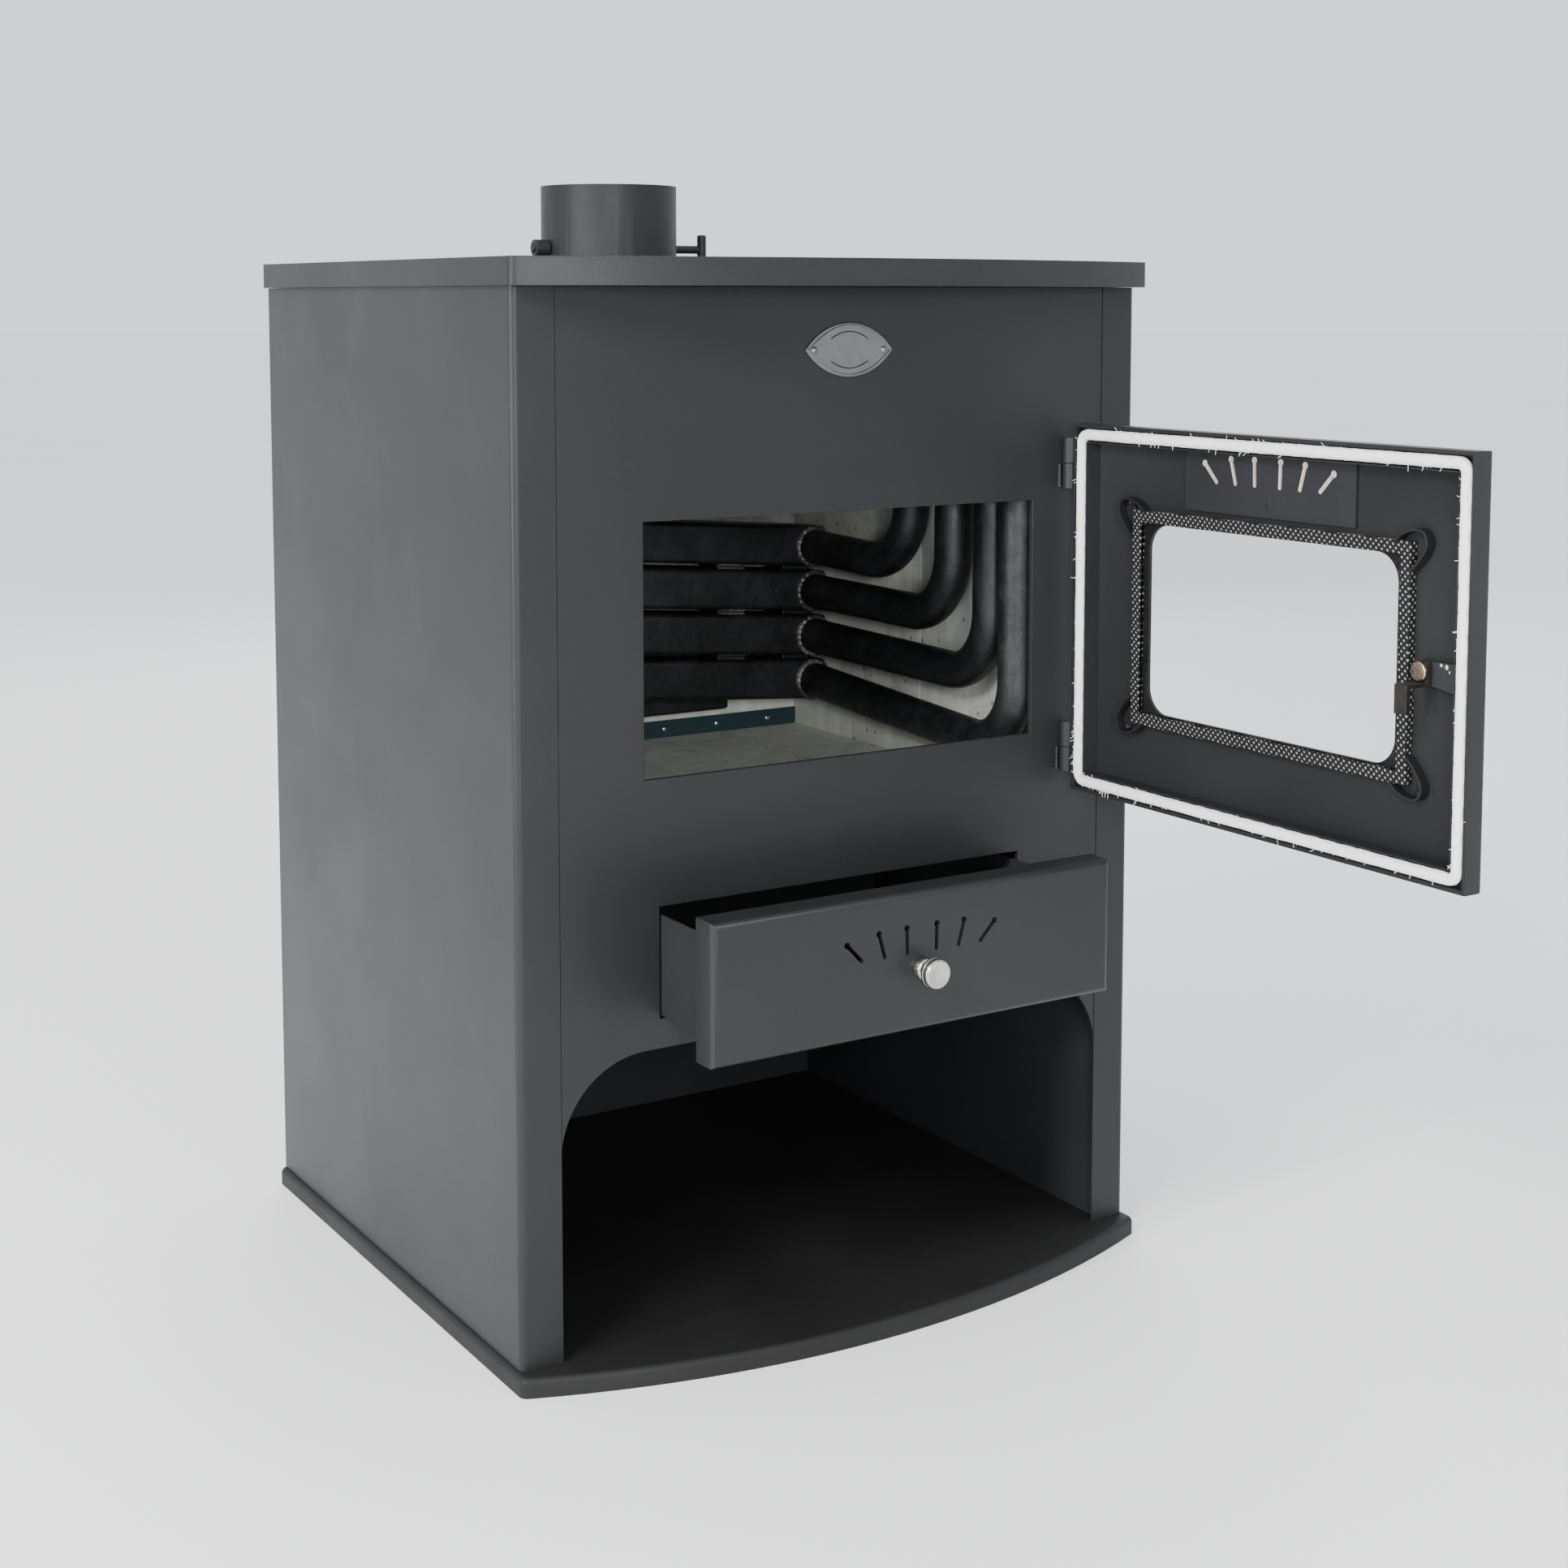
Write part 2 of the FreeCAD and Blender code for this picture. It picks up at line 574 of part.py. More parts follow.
def liners():
    heights = ("floor_top", "liner_top")
    joint = "front + liner_joint"
    for label, low, high in (("liner_left", "-liner_inside - liner_plate", "-liner_inside"),
                             ("liner_right", "liner_inside", "liner_inside + liner_plate")):
        piece(label, group(span((low, high), ("panel_back", f"{joint} - seam_gap"), heights),
                           span((low, high), (f"{joint} + seam_gap", "front + liner_back"), heights)))
    outside = "liner_inside + liner_plate"
    rear = span((f"-({outside})", outside), ("front + liner_back", "front + liner_back + liner_plate"), heights)
    through = rod("y", "return_place", "front + liner_back - 1", "header_bottom + header_height / 2",
                  "socket_radius + 0.5", "liner_plate + 2")
    piece("liner_rear", cut(rear, through))
    piece("floor_strip", span(("-liner_inside", "liner_inside"),
                              ("front + liner_back - strip_plate", "front + liner_back"),
                              ("floor_top", "floor_top + strip_height")))
    rivets = []
    for step in range(-3, 4):
        rivets.append(rod("y", f"{step} * rivet_pitch", "front + liner_back - strip_plate - rivet_head",
                          "floor_top + strip_height / 2", "rivet_radius", "rivet_head"))
    piece("strip_rivets", group(*rivets))


# ---------------------------------------------------------------- boiler
def tilted(item, level):
    """Turns a piece made about height 0 to the water tubes' fall, and lifts its middle to a level."""
    item.Placement = Placement(Vector(), Rotation(Vector(0, 1, 0), size("tube_tilt")))
    item.setExpression("Placement.Rotation.Angle", full("tube_tilt"))
    item.setExpression("Placement.Base.z", full(level))
    return item


def water_tubes():
    faces = ("front + tube_front", "front + tube_front + tube_size")
    half = "tube_size / 2"
    for number in range(4):
        outer = rounded("x", ("-tube_half", "tube_half"), faces, (f"-{half}", half), "tube_round")
        inner = rounded("x", ("-tube_half + tube_wall", "tube_half - tube_wall"),
                        (f"{faces[0]} + tube_wall", f"{faces[1]} - tube_wall"),
                        (f"-{half} + tube_wall", f"{half} - tube_wall"), "tube_round - tube_wall")
        piece(f"water_tube_{number + 1}", tilted(cut(outer, inner), f"tube_first - {number} * tube_pitch"))
    links = []
    depth = (f"{faces[0]} + tube_round + 1", f"{faces[1]} - tube_round - 1")
    for number in range(3):
        level = f"tube_first - {number + 0.5} * tube_pitch"
        for middle in ("-link_place", "link_place", "tube_half - link_width", "-tube_half + link_width"):
            block = span((f"{middle} - link_width / 2", f"{middle} + link_width / 2"), depth,
                         ("-link_height / 2", "link_height / 2"))
            links.append(tilted(group(block), level))
    piece("tube_links", group(*links))


def wall_pipe(number, sign):
    """An L-shaped pipe: out of a water tube towards the front, then up to the manifold."""
    body = doc.addObject("PartDesign::Body", fresh("Body"))
    level = f"tube_first - {number - 1} * tube_pitch - {sign} * pipe_place * tan(tube_tilt * 1 deg)"
    start = ("front + tube_front", level)
    room = "latch_room" if sign == "-1" else "0"
    corner = (f"front + leg_{number} + {room}", f"{level} - drop_{number}")
    end = (corner[0], "manifold_bottom + pipe_trim")
    path = new_sketch(body, "YZ_Plane", f"{sign} * pipe_place")
    spots = [Vector(size(y), size(z), 0) for y, z in (start, corner, end)]
    bend = size("pipe_bend")
    along = (spots[0] - spots[1]).normalize()
    upward = (spots[2] - spots[1]).normalize()
    opening = math.acos(along.dot(upward))
    reach = bend / math.tan(opening / 2)
    low_point = spots[1] + along * reach
    high_point = spots[1] + upward * reach
    middle_line = (along + upward).normalize()
    centre = spots[1] + middle_line * (bend / math.sin(opening / 2))
    path.addGeometry(Part.LineSegment(spots[0], low_point))
    angles = [math.atan2(point.y - centre.y, point.x - centre.x) for point in (high_point, low_point)]
    path.addGeometry(Part.ArcOfCircle(Part.Circle(centre, Vector(0, 0, 1), bend), angles[0] % (2 * math.pi),
                                      angles[1] % (2 * math.pi)))
    path.addGeometry(Part.LineSegment(high_point, spots[2]))
    path.addGeometry(Part.Point(spots[1]), True)
    path.addConstraint(Sketcher.Constraint("Tangent", 0, 2, 1, 2))
    path.addConstraint(Sketcher.Constraint("Tangent", 1, 1, 2, 1))
    hold(path, 0, 1, *start)
    hold(path, 3, 1, *corner)
    path.addConstraint(Sketcher.Constraint("PointOnObject", 3, 1, 0))
    hold(path, 2, 2, *end)
    path.addConstraint(Sketcher.Constraint("Vertical", 2))
    bind(path, "Radius", 1, "pipe_bend")
    section = new_sketch(body, "XZ_Plane", f"-({start[0]})")
    for radius in ("pipe_radius", "pipe_radius - pipe_wall"):
        spot = Vector(size(f"{sign} * pipe_place"), size(level), 0)
        index = section.addGeometry(Part.Circle(spot, Vector(0, 0, 1), size(radius)))
        hold(section, index, 3, f"{sign} * pipe_place", level)
        bind(section, "Radius", index, radius)
    pipe = body.newObject("PartDesign::AdditivePipe", fresh("Pipe"))
    pipe.Profile = section
    pipe.Spine = (path, ["Edge1", "Edge2", "Edge3"])
    middle = f"{sign} * pipe_place"
    spare = span((f"{middle} - 2 * pipe_radius", f"{middle} + 2 * pipe_radius"),
                 (f"{corner[0]} - 2 * pipe_radius", f"{corner[0]} + 2 * pipe_radius"),
                 ("manifold_bottom", "manifold_bottom + 2 * pipe_trim"))
    return cut(body, spare)


def pipework():
    for number in range(1, 5):
        piece(f"right_pipe_{number}", wall_pipe(number, "1"))
    piece("left_pipes", group(*[wall_pipe(number, "-1") for number in range(1, 5)]))
    parts = []
    heights = ("manifold_bottom", "manifold_top")
    inner_heights = ("manifold_bottom + tube_wall", "manifold_top - tube_wall")
    for sign in ("-1", "1"):
        middle = f"{sign} * pipe_place"
        outer = span((f"{middle} - tube_size / 2", f"{middle} + tube_size / 2"), ("panel_clear", "top_header_y"),
                     heights)
        inner = span((f"{middle} - tube_size / 2 + tube_wall", f"{middle} + tube_size / 2 - tube_wall"),
                     ("panel_clear + tube_wall", "top_header_y - tube_wall"), inner_heights)
        parts.append(cut(outer, inner))
    half = "pipe_place + tube_size / 2"
    outer = span((f"-({half})", half), ("top_header_y", "top_header_y + tube_size"), heights)
    inner = span((f"-({half}) + tube_wall", f"{half} - tube_wall"),
                 ("top_header_y + tube_wall", "top_header_y + tube_size - tube_wall"), inner_heights)
    parts.append(cut(outer, inner))
    piece("top_manifolds", group(*parts))
    shell = span(("header_left", "header_right"), ("front + tube_front + tube_size", "front + liner_back - strip_plate"),
                 ("header_bottom", "header_bottom + header_height"))
    hollow = span(("header_left + tube_wall", "header_right - tube_wall"),
                  ("front + tube_front + tube_size + tube_wall", "front + liner_back - strip_plate - tube_wall"),
                  ("header_bottom + tube_wall", "header_bottom + header_height - tube_wall"))
    piece("lower_header", cut(shell, hollow))
    sockets = []
    for index, start in enumerate(("top_header_y + tube_size", "front + liner_back - strip_plate")):
        length = f"back + socket_reach - ({start})"
        outer = socket_rods(start, length, "socket_radius")[index]
        sockets.append(cut(outer, socket_rods(start, length, "socket_bore")[index]))
    piece("water_sockets", group(*sockets))


# ---------------------------------------------------------------- flue and damper
def flue():
    tube_length = "stove_top + collar_height - body_top"
    tube = rod("z", "0", "collar_y", "body_top", "collar_radius", tube_length)
    flange = rod("z", "0", "collar_y", "body_top", "collar_radius + collar_flange", "collar_wall")
    bore = rod("z", "0", "collar_y", "body_top - 1", "collar_radius - collar_wall", f"{tube_length} + 2")
    cross = rod("x", "-collar_radius - 1", "collar_y", "damper_z", "damper_rod + running_fit",
                "2 * collar_radius + 2")
    piece("flue_collar", cut(fuse(tube, flange), bore, cross))
    disc = rod("y", "0", "collar_y - damper_plate / 2", "damper_z", "damper_radius", "damper_plate")
    hub = rod("x", "-damper_radius / 2", "collar_y", "damper_z", "hub_radius", "damper_radius")
    through = rod("x", "-damper_radius - 1", "collar_y", "damper_z", "damper_rod + running_fit",
                  "2 * damper_radius + 2")
    piece("damper_disc", cut(fuse(disc, hub), through))
    spindle = rod("x", "-collar_radius - damper_nut - 3", "collar_y", "damper_z", "damper_rod",
                  "2 * collar_radius + damper_nut + 3 + damper_reach - damper_grip_radius")
    nut = rod("x", "-collar_radius - damper_nut - 1", "collar_y", "damper_z", "damper_nut_radius", "damper_nut")
    piece("damper_spindle", fuse(spindle, nut))
    grip = rod("z", "collar_radius + damper_reach", "collar_y", "damper_z - damper_grip / 2",
               "damper_grip_radius", "damper_grip")
    piece("damper_handle", cut(grip, rod("x", "collar_radius", "collar_y", "damper_z", "damper_rod",
                                         "damper_reach - damper_grip_radius")))


def badge():
    """An eye-shaped plate where two discs meet, and its two rivets."""
    radius = "(badge_length * badge_length + badge_height * badge_height) / (4 * badge_height)"
    discs = []
    for sign in ("-1", "1"):
        level = f"badge_level + {sign} * ({radius} - badge_height / 2)"
        discs.append(rod("y", "0", "front - badge_plate", level, radius, "badge_plate"))
    eye = doc.addObject("Part::Common", fresh("Common"))
    eye.Base, eye.Tool = discs
    piece("badge", eye)
    piece("badge_rivets", group(*[
        rod("y", f"{sign} * badge_rivet_place", "front - badge_plate - rivet_head", "badge_level",
            "rivet_radius", "rivet_head") for sign in ("-1", "1")]))


# ---------------------------------------------------------------- door
def hinges():
    frame_halves, door_halves, pins = [], [], []
    bore = "pin_radius + running_fit"
    for low in ("hinge_low", "hinge_high"):
        upper = f"{low} + knuckle_half + knuckle_gap"
        barrel = rod("z", "hinge_place", "hinge_y", low, "knuckle_radius", "knuckle_half")
        weld = span(("hinge_place - hinge_weld / 2", "hinge_place + hinge_weld / 2"), ("hinge_y", "front"),
                    (low, f"{low} + knuckle_half"))
        hole = rod("z", "hinge_place", "hinge_y", f"{low} - 1", bore, "2 * knuckle_half + 2")
        frame_halves.append(cut(fuse(barrel, weld), hole))
        barrel = rod("z", "hinge_place", "hinge_y", upper, "knuckle_radius", "knuckle_half")
        weld = span(("hinge_place - hinge_weld / 2", "hinge_place + hinge_weld / 2"), ("door_y", "hinge_y"),
                    (upper, f"{upper} + knuckle_half"))
        hole = rod("z", "hinge_place", "hinge_y", f"{low} - 1", bore, "2 * knuckle_half + 2")
        door_halves.append(cut(fuse(barrel, weld), hole))
        pins.append(rod("z", "hinge_place", "hinge_y", f"{low} + 1", "pin_radius", "2 * knuckle_half - 2"))
    piece("hinge_frame_halves", group(*frame_halves))
    piece("hinge_door_halves", group(*door_halves))
    piece("hinge_pins", group(*pins))


def frame_block(depth, inset, radius="0"):
    """A block with the door's outline, set in all round."""
    wide = (f"door_y - door_width + ({inset})", f"door_y - ({inset})")
    tall = (f"door_bottom + ({inset})", f"door_bottom + door_height - ({inset})")
    if radius == "0":
        return span(depth, wide, tall)
    return rounded("x", depth, wide, tall, radius)


def window_block(depth, width, height, radius):
    wide = (f"door_mid_y - ({width}) / 2", f"door_mid_y + ({width}) / 2")
    tall = (f"window_z - ({height}) / 2", f"window_z + ({height}) / 2")
    if radius == "0":
        return span(depth, wide, tall)
    return rounded("x", depth, wide, tall, radius)


def door():
    tray = frame_block(("rim_x", "face_x"), "0")
    inside = frame_block(("rim_x - 1", "skin_x"), "tray_sheet")
    window = window_block(("skin_x - 1", "face_x + 1"), "window_width", "window_height", "window_round")
    slots = air_slots("x", "door_mid_y", "door_knob_level", "skin_x - 1", "tray_sheet + 2")
    knob_slot = rounded("x", ("skin_x - 1", "face_x + 1"),
                        ("door_mid_y - air_travel - knob_rod - running_fit", "door_mid_y + knob_rod + running_fit"),
                        ("door_knob_level - knob_rod - running_fit", "door_knob_level + knob_rod + running_fit"),
                        "knob_rod")
    spindle = rod("x", "skin_x - 1", "latch_y", "latch_level", "latch_rod + running_fit", "tray_sheet + 2")
    piece("door_panel", cut(tray, inside, window, knob_slot, spindle, *slots))
    seat = "gasket_x + gasket_deep"
    inner = "tray_sheet + gasket_gap + gasket_width"
    floor = cut(frame_block((seat, f"{seat} + lip_sheet"), "tray_sheet"),
                frame_block((f"{seat} - 1", f"{seat} + lip_sheet + 1"), inner))
    lip = cut(frame_block(("rim_x + 1", "skin_x"), inner),
              frame_block(("rim_x", "skin_x + 1"), f"{inner} + lip_sheet"))
    floor_meets_lip = frame_block((seat, f"{seat} + lip_sheet"), inner)
    corner = cut(floor_meets_lip, frame_block((f"{seat} - 1", f"{seat} + lip_sheet + 1"), f"{inner} + lip_sheet"))
    piece("gasket_channel", fuse(floor, lip, corner))
    outer = frame_block(("gasket_x", seat), "tray_sheet + gasket_gap", "gasket_round")
    hole = frame_block(("gasket_x - 1", f"{seat} + 1"), inner)
    piece("door_gasket", cut(outer, hole))
    glazing()


def glazing():
    pane = ("skin_x - tape_sheet - glass_plate", "skin_x - tape_sheet")
    piece("door_glass", window_block(pane, "glass_width - 2 * tape_sheet", "glass_height - 2 * tape_sheet", "0"))
    tape_depth = ("skin_x - 2 * tape_sheet - glass_plate", "skin_x")
    outer = window_block(tape_depth, "glass_width", "glass_height", "0")
    opening = window_block(("skin_x - 20", "skin_x + 1"), "glass_width - 2 * tape_width",
                           "glass_height - 2 * tape_width", "0")
    room = window_block(pane, "glass_width - 2 * tape_sheet", "glass_height - 2 * tape_sheet", "0")
    piece("glass_gasket", cut(outer, opening, room))
    clips, screws = [], []
    top_x = "skin_x - 2 * tape_sheet - glass_plate - clip_sheet"
    for side in ("-1", "1"):
        for level in ("-1", "1"):
            y = f"door_mid_y + {side} * glass_width / 2"
            z = f"window_z + {level} * glass_height / 2"
            blade = box_between((top_x, f"{top_x} + clip_sheet"),
                                (f"{y} - {side} * 7", f"{y} + {side} * (clip_size - 16)"),
                                (f"{z} - {level} * 7", f"{z} + {level} * (clip_size - 24)"), side, level)
            foot = box_between((f"{top_x} + clip_sheet", "skin_x"),
                               (f"{y} + {side} * 1", f"{y} + {side} * (clip_size - 16)"),
                               (f"{z} + {level} * 1", f"{z} + {level} * (clip_size - 24)"), side, level)
            hole = rod("x", f"{top_x} - 1", f"{y} + {side} * (clip_size - 16) / 2", f"{z} + {level} * 5.5",
                       "clip_screw / 2", "12")
            clips.append(cut(fuse(blade, foot), hole))
            stem = rod("x", top_x, f"{y} + {side} * (clip_size - 16) / 2", f"{z} + {level} * 5.5",
                       "clip_screw / 2", f"skin_x - ({top_x})")
            head = rod("x", f"{top_x} - 2", f"{y} + {side} * (clip_size - 16) / 2", f"{z} + {level} * 5.5",
                       "clip_screw", "2")
            screws.append(fuse(stem, head))
    piece("glass_clips", group(*clips))
    piece("clip_screws", group(*screws))


def box_between(x, y, z, side, level):
    """A box whose ends are given from the glass's edge outwards, on whichever side that is."""
    if side == "-1":
        y = (y[1], y[0])
    if level == "-1":
        z = (z[1], z[0])
    return span(x, (f"({y[0]})", f"({y[1]})"), (f"({z[0]})", f"({z[1]})"))


def latch():
    """The spindle through the door, its hook inside and its handle outside."""
    lip_y = "door_y - door_width + tray_sheet + gasket_gap + gasket_width + lip_sheet"
    wedge_x = "skin_x - 6"
    wedge = prism("YZ_Plane", wedge_x, "6", [
        ("latch_y + 6", "latch_level - 9"), ("latch_y + 6", "latch_level + 7"),
        (lip_y, "latch_level + 8"), (lip_y, "latch_level - 15")])
    hole = rod("x", f"{wedge_x} - 1", "latch_y", "latch_level", "latch_rod + running_fit", "8")
    piece("latch_plate", cut(wedge, hole))
    grip_x = "face_x + handle_reach"
    inner_x = f"{wedge_x} - 1 - hook_plate"
    shaft = rod("x", f"{inner_x} - 2", "latch_y", "latch_level", "latch_rod", f"face_x + 14 - ({inner_x}) + 2")
    dome = rod("x", f"{inner_x} - 4", "latch_y", "latch_level", "latch_dome", "4 - 0.01")
    piece("latch_spindle", fuse(shaft, dome))
    wide = ("latch_y - hook_width / 2", "latch_y + hook_width / 2")
    plate = span((inner_x, f"{inner_x} + hook_plate"), wide, ("latch_level - hook_riser", "latch_level + 7"))
    riser = span(("hook_x", f"{inner_x} + hook_plate"), wide,
                 ("latch_level - hook_riser", "latch_level - hook_riser + 3"))
    tip = span(("hook_x", "hook_x + hook_plate"), wide, ("latch_level - latch_tip", "latch_level - hook_riser + 3"))
    through = rod("x", "hook_x", "latch_y", "latch_level", "latch_rod", "60")
    dome_room = rod("x", "hook_x", "latch_y", "latch_level", "latch_dome", f"{inner_x} - hook_x")
    piece("latch_hook", cut(fuse(plate, riser, tip), through, dome_room))
    boss = rod("x", "face_x + 1", "latch_y", "latch_level", "latch_rod + 5", "12")
    arm = span(("face_x + 5", "face_x + 13"), ("latch_y - 5", "latch_y + 5"),
               ("latch_level", "latch_level + handle_throw"))
    grip = rod("x", "face_x + 5", "latch_y", "latch_level + handle_throw", "handle_grip", "handle_reach - 5")
    neck = rod("x", "face_x", "latch_y", "latch_level", "latch_rod", "14")
    piece("door_handle", cut(fuse(boss, arm, grip), neck))


# ---------------------------------------------------------------- air controls and drawer
def air_slots(axis, across, level, start, depth):
    """Cutters for six slots that fan out above a knob, each wide at its outer end."""
    tools = []
    for step in (-2.5, -1.5, -0.5, 0.5, 1.5, 2.5):
        sign = 1 if step > 0 else -1
        lean = sign * size("air_fan") * step * step
        foot = f"{across} + {sign} * air_slot_first + {step} * air_slot_pitch"
        base_z = f"{level} + air_slot_rise"
        slope = f"{sign * step * step} * air_fan * 1 deg"
        tip = (f"{foot} + air_slot_length * sin({slope})", f"{base_z} + air_slot_length * cos({slope})")
        if axis == "y":
            turn = Rotation(Vector(0, 1, 0), lean)
            bar = box(f"{foot} - air_slot * cos({slope})", start, f"{base_z} + air_slot * sin({slope})",
                      "2 * air_slot", depth, "air_slot_length", turn)
            ends = [rod("y", foot, start, base_z, "air_slot", depth),
                    rod("y", tip[0], start, tip[1], "air_slot_end", depth)]
        else:
            turn = Rotation(Vector(1, 0, 0), -lean)
            bar = box(start, f"{foot} - air_slot * cos({slope})", f"{base_z} + air_slot * sin({slope})",
                      depth, "2 * air_slot", "air_slot_length", turn)
            ends = [rod("x", start, foot, base_z, "air_slot", depth),
                    rod("x", start, tip[0], tip[1], "air_slot_end", depth)]
        tools += [bar] + ends
    return tools


def knob(axis, sign, x, y, z, rod_back):
    """A turned knob with a foot, a neck and a head, and the rod behind it. It points along an axis."""
    lengths = [("knob_rod", rod_back), ("knob_base", "knob_base_length"), ("knob_neck", "knob_neck_length"),
               ("knob_head", "knob_head_length")]
    at = f"-({rod_back})"
    parts = []
    for radius, length in lengths:
        near = at if sign == "1" else f"-({at}) - ({length})"
        spot = {"x": x, "y": y, "z": z}
        spot[axis] = f"{spot[axis]} + {near}"
        parts.append(rod(axis, spot["x"], spot["y"], spot["z"], radius, length))
        at = f"{at} + {length}"
    return fuse(*parts)


def door_air():
    depth = ("skin_x - shutter_gap - shutter_sheet", "skin_x - shutter_gap")
    plate = span(depth, ("door_mid_y - shutter_width / 2", "door_mid_y + shutter_width / 2"),
                 ("door_knob_level - shutter_below", "door_knob_level + shutter_above"))
    bore = rod("x", f"{depth[0]} - 1", "door_mid_y", "door_knob_level", "knob_rod", "shutter_sheet + 2")
    slots = air_slots("x", "door_mid_y", "door_knob_level", f"{depth[0]} - 1", "shutter_sheet + 2")
    piece("door_shutter", cut(plate, bore, *slots))
    piece("door_air_knob", knob("x", "1", "face_x + knob_gap", "door_mid_y", "door_knob_level",
                                f"knob_gap + tray_sheet + shutter_gap + shutter_sheet + 1"))


def drawer():
    half = "drawer_front_width / 2"
    low, high = "drawer_front_bottom", "drawer_front_bottom + drawer_front_height"
    shell = span((f"-{half}", half), ("drawer_face_y", "drawer_back_y"), (low, high))
    hollow = span((f"-{half} + drawer_sheet", f"{half} - drawer_sheet"),
                  ("drawer_face_y + drawer_sheet", "drawer_back_y + 1"),
                  (f"{low} + drawer_sheet", f"{high} - drawer_sheet"))
    knob_slot = rounded("y", ("-knob_rod - running_fit", "air_travel + knob_rod + running_fit"),
                        ("drawer_face_y - 1", "drawer_face_y + drawer_sheet + 1"),
                        ("drawer_knob_level - knob_rod - running_fit", "drawer_knob_level + knob_rod + running_fit"),
                        "knob_rod")
    slots = air_slots("y", "0", "drawer_knob_level", "drawer_face_y - 1", "drawer_sheet + 2")
    piece("drawer_front", cut(shell, hollow, knob_slot, *slots))
    front_y = "drawer_face_y + drawer_sheet"
    rear_y = "drawer_back_y + drawer_length"
    outer = span(("-drawer_half", "drawer_half"), (front_y, rear_y),
                 ("drawer_bottom", "drawer_bottom + drawer_height"))
    inner = span(("-drawer_half + drawer_sheet", "drawer_half - drawer_sheet"),
                 (f"{front_y} + drawer_front_depth - 2 * drawer_sheet", f"{rear_y} - drawer_sheet"),
                 ("drawer_bottom + drawer_sheet", "drawer_bottom + drawer_height + 1"))
    air_space = span(("-drawer_half + drawer_sheet", "drawer_half - drawer_sheet"),
                     (f"{front_y} - 1", f"{front_y} + drawer_front_depth - 3 * drawer_sheet"),
                     ("drawer_bottom + drawer_sheet", "drawer_bottom + drawer_height + 1"))
    air_way = span(("-shutter_width / 2", "shutter_width / 2"),
                   (f"{front_y}", "drawer_back_y + drawer_sheet"),
                   ("drawer_knob_level + air_slot_rise", "drawer_bottom + drawer_height + 1"))
    piece("drawer_box", cut(outer, inner, air_space, air_way))
    depth = (f"{front_y} + shutter_gap", f"{front_y} + shutter_gap + shutter_sheet")
    plate = span(("-shutter_width / 2", "shutter_width / 2"), depth,
                 ("drawer_knob_level - shutter_below", "drawer_knob_level + shutter_above"))
    bore = rod("y", "0", f"{depth[0]} - 1", "drawer_knob_level", "knob_rod", "shutter_sheet + 2")
    slots = air_slots("y", "0", "drawer_knob_level", f"{depth[0]} - 1", "shutter_sheet + 2")
    piece("drawer_shutter", cut(plate, bore, *slots))
    piece("drawer_knob", knob("y", "-1", "0", "drawer_face_y - knob_gap", "drawer_knob_level",
                              "knob_gap + drawer_sheet + shutter_gap + shutter_sheet + 1"))


# ---------------------------------------------------------------- build, check and write
for make in (base, top, welded_body, covers, firebox, water_tubes, pipework, flue, badge, hinges, door,
             latch, door_air, drawer):
    make()
doc.recompute()

for item in doc.Objects:
    if "Invalid" in item.State or "Error" in item.State:
        raise RuntimeError(f"{item.Name} ({item.Label}) failed: {item.State}")
for label, item in pieces.items():
    if item.Shape.isNull() or not item.Shape.isValid() or not item.Shape.Solids:
        raise RuntimeError(f"{label} is not a valid solid")

os.makedirs("parts", exist_ok=True)
for label, item in pieces.items():
    item.Shape.exportStep(f"parts/{label}.step")
print(len(pieces), "pieces written")
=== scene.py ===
"""Looks of the wood burning stove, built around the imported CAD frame. Lengths are in metres."""
import json
import math
import random

import bmesh
import bpy
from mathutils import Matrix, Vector


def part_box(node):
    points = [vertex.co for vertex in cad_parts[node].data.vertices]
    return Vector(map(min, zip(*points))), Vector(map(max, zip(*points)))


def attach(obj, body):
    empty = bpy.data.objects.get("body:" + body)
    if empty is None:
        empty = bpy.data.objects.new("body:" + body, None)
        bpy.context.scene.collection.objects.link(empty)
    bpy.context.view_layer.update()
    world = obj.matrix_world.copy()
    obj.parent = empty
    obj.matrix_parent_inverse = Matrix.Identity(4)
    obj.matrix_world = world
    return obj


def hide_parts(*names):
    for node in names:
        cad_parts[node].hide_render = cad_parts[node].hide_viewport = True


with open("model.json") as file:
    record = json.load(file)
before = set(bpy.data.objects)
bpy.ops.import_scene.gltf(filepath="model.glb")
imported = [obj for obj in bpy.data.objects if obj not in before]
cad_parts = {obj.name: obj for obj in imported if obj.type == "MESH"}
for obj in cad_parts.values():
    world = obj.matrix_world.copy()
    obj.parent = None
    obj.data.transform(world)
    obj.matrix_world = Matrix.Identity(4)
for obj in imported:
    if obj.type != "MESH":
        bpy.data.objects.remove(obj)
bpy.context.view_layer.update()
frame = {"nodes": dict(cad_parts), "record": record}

BODY_OF = {node: body for body, nodes in frame["record"]["behaviour"]["bodies"].items() for node in nodes}
SLOT_OF = {part["node"]: part["material_slot"] for part in frame["record"]["subparts"]}
X, Y, Z = Vector((1, 0, 0)), Vector((0, 1, 0)), Vector((0, 0, 1))
CREASE = math.radians(38)  # a bevel rounds edges sharper than this
TUBE_FALL = math.tan(math.radians(4.4))  # the square tubes fall to the right
BORDER = 0.01  # an outer edge of a tray lies within this of its outline
FLAT = 0.0004  # a corner this near the tray's face lies in it
random.seed(7)


